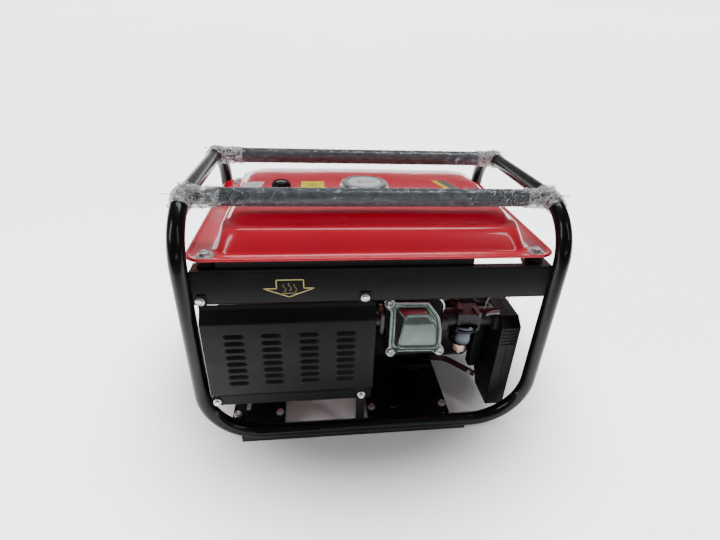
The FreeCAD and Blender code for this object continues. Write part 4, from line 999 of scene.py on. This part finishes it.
def backdrop_material():
    """White paper with painted light and shade: it glows, though it is no lamp, everywhere but in a painted
    shadow close round the object, and turns grey without glow in front and high up, a painted shade that
    keeps reflections dark.
    """
    shade = Shader("backdrop")
    parts = shade.node("ShaderNodeSeparateXYZ", _0=shade.place)
    far = shade.node("ShaderNodeVectorMath", {"operation": "LENGTH"}, _0=shade.place).outputs["Value"]

    def ramp(value, low, high, to_low, to_high):
        smooth = {"interpolation_type": "SMOOTHSTEP"}
        made = shade.node("ShaderNodeMapRange", smooth, _0=value, _1=low, _2=high, _3=to_low, _4=to_high)
        return made.outputs[0]

    # painted shade: grey paper with no glow in front of the object (y below -0.4 m, fully by -1.1 m) and
    # above 0.9 m (fully by 1.7 m)
    lit = shade.maths("MULTIPLY", ramp(parts.outputs[1], -1.1, -0.4, 0.0, 1.0),
                      ramp(parts.outputs[2], 0.9, 1.7, 1.0, 0.0))
    # painted shadow: no glow within 0.24 m of the centre, full glow from 0.55 m outward
    glow = ramp(far, 0.24, 0.55, 0.0, 3.4)
    soft = shade.remap(shade.noise(1.3, 2.0), 0.3, 0.7, 0.0, 1.0)
    paper = shade.mix(soft, (0.86, 0.86, 0.86, 1), (0.88, 0.88, 0.885, 1))
    colour = shade.mix(lit, (0.34, 0.34, 0.345, 1), paper)
    shade.set(Base_Color=colour, Roughness=0.9, Specular_IOR_Level=0.1, Emission_Color=paper,
              Emission_Strength=shade.maths("MULTIPLY", lit, glow))
    return shade.material


FINISH = {
    "backdrop": backdrop_material(),
    "film": film_material(),
    "net_core": plain("net_core", (0.012, 0.016, 0.022), 0.4, coat=0.5, coat_rough=0.12, vary=0.3,
                      blotch=160.0),
    # partly painted glint: the strands' pale grey, varied strongly in fine spots, stands in for the net's
    # white sparkles on top of their real gloss
    "net_strand": plain("net_strand", (0.22, 0.245, 0.27), 0.2, metallic=0.3, coat=1.0,
                        coat_rough=0.05, vary=0.8, blotch=420.0),
    "cover_paint": plain("cover_paint", (0.003, 0.003, 0.0032), 0.42, coat=0.04, coat_rough=0.15,
                        dust=0.006, specular=0.12),
    # near-black rough finish for the plates that stand in for shade inside slots: painted shade
    "dark": plain("dark", (0.004, 0.004, 0.004), 0.8),
    "label_white": plain("label_white", (0.74, 0.74, 0.75), 0.32, vary=0.03, blotch=60.0),
    "label_lines": lined_material(),
    "label_yellow": plain("label_yellow", (0.9, 0.72, 0.0), 0.3, vary=0.06, blotch=50.0),
    "label_edge": plain("label_edge", (0.62, 0.5, 0.02), 0.3, vary=0.1, blotch=90.0),
    "label_stripes": stripes_material(),
    "mark_grey": plain("mark_grey", (0.35, 0.36, 0.38), 0.4),
    "arrow_yellow": plain("arrow_yellow", (0.58, 0.5, 0.16), 0.4, vary=0.12, blotch=120.0),
    "symbol_brown": plain("symbol_brown", (0.3, 0.2, 0.07), 0.45, vary=0.2, blotch=120.0),
    "smoke": plain("smoke", (0.012, 0.012, 0.013), 0.12, coat=1.0, coat_rough=0.03),
    "dull_zinc": plain("dull_zinc", (0.42, 0.43, 0.44), 0.4, metallic=0.9, vary=0.2, blotch=80.0),
    "bright_pipe": plain("bright_pipe", (0.2, 0.22, 0.25), 0.35, metallic=0.4, vary=0.15, blotch=60.0),
    "dark_zinc": plain("dark_zinc", (0.06, 0.06, 0.065), 0.35, metallic=0.9, vary=0.2, blotch=80.0),
    "wire": plain("wire", (0.2, 0.2, 0.21), 0.35),
}
MATERIALS = {
    "frame_paint": plain("frame_paint", (0.003, 0.003, 0.0034), 0.3, coat=0.32, coat_rough=0.04,
                         dust=0.005, specular=0.1),
    "panel_paint": plain("panel_paint", (0.0032, 0.0032, 0.0035), 0.4, coat=0.08, coat_rough=0.1,
                         dust=0.006, specular=0.16),
    "tank_paint": plain("tank_paint", (0.78, 0.0004, 0.03), 0.34, coat=0.75, coat_rough=0.035, vary=0.05,
                        grain=220.0, grain_height=0.004),
    "zinc": plain("zinc", (0.62, 0.63, 0.64), 0.32, metallic=0.9, vary=0.06, blotch=25.0,
                  grain_height=0.004),
    "cap_metal": plain("cap_metal", (0.56, 0.55, 0.54), 0.24, metallic=1.0, vary=0.1, blotch=30.0),
    "mesh_foam": FINISH["net_core"],
    "stretch_film": FINISH["film"],
    "rubber": plain("rubber", (0.014, 0.014, 0.015), 0.7, dust=0.05),
    "muffler_steel": plain("muffler_steel", (0.12, 0.115, 0.11), 0.5, metallic=0.7, blotch=30.0, vary=0.3),
    "black_plastic": plain("black_plastic", (0.004, 0.004, 0.0042), 0.45, dust=0.008, specular=0.14),
    "needle_paint": plain("needle_paint", (0.7, 0.12, 0.03), 0.5),
    "float_plastic": plain("float_plastic", (0.7, 0.7, 0.66), 0.5),
    "tap_alloy": plain("tap_alloy", (0.4, 0.4, 0.4), 0.4, metallic=1.0),
    "cast_aluminium": plain("cast_aluminium", (0.012, 0.0125, 0.013), 0.5, metallic=0.3, specular=0.3,
                            blotch=40.0, vary=0.35, grain=420.0, grain_height=0.05),
    "cover_aluminium": plain("cover_aluminium", (0.27, 0.32, 0.305), 0.2, metallic=0.85, vary=0.06,
                             blotch=26.0, grain=380.0, grain_height=0.03),
    "plug_ceramic": plain("plug_ceramic", (0.8, 0.8, 0.77), 0.15),
    "carb_alloy": plain("carb_alloy", (0.012, 0.0125, 0.014), 0.45, metallic=0.2, specular=0.3, vary=0.3,
                        blotch=60.0),
    "bowl_steel": plain("bowl_steel", (0.05, 0.056, 0.066), 0.1, metallic=1.0, vary=0.25, blotch=40.0),
    "solenoid_brass": plain("solenoid_brass", (0.62, 0.42, 0.31), 0.34, metallic=0.5, vary=0.1),
    "filter_foam": plain("filter_foam", (0.12, 0.12, 0.11), 0.9),
    "bracket_paint": plain("bracket_paint", (0.05, 0.009, 0.012), 0.36),
    "steel": plain("steel", (0.5, 0.5, 0.5), 0.3, metallic=1.0),
    "cast_iron": plain("cast_iron", (0.2, 0.2, 0.2), 0.5, metallic=0.8),
    "lamination": plain("lamination", (0.1, 0.1, 0.105), 0.5, metallic=0.7),
    "copper": plain("copper", (0.5, 0.18, 0.08), 0.35, metallic=0.9),
    "outlet_plastic": plain("outlet_plastic", (0.03, 0.05, 0.12), 0.4),
    "breaker_plastic": plain("breaker_plastic", (0.6, 0.03, 0.02), 0.35),
    "switch_plastic": plain("switch_plastic", (0.5, 0.015, 0.015), 0.3),
}

EDGE_WIDTHS = {
    "cross_members": 0.5, "rubber_feet": 1.0, "rubber_mounts": 1.2, "control_box": 3.0,
    "crankcase": 2.0, "cylinder_barrel": 0.8, "cylinder_head": 0.8, "blower_housing": 1.2,
    "recoil_cover": 1.2, "recoil_grip": 2.0, "alternator_end_bracket": 1.5,
    "alternator_front_bracket": 1.2, "alternator_end_cover": 1.2, "muffler": 0.6,
    "socket_outlets": 0.8, "engine_switch": 0.8, "breaker_button": 1.0, "oil_dipstick": 0.8,
    "fuel_tap": 0.6, "fuel_tap_lever": 0.6, "spark_plug": 0.5, "stator_core": 0.8,
}

add_camera()
add_studio()
for node, piece in frame["nodes"].items():
    piece.data.materials.clear()
    piece.data.materials.append(MATERIALS[SLOTS[node]])

build_frame()
build_sleeves()
build_film()
tank = build_tank()
build_decals(tank)
build_cap()
build_gauge()
build_bolts()
build_cover()
build_arrow()
build_panels()
build_valve_cover()
build_carburettor()
wear(join("loop_wires", build_plug_corner()), "rubber", material=FINISH["wire"])
build_cleaner()
for node, width in EDGE_WIDTHS.items():
    refined(node, width)
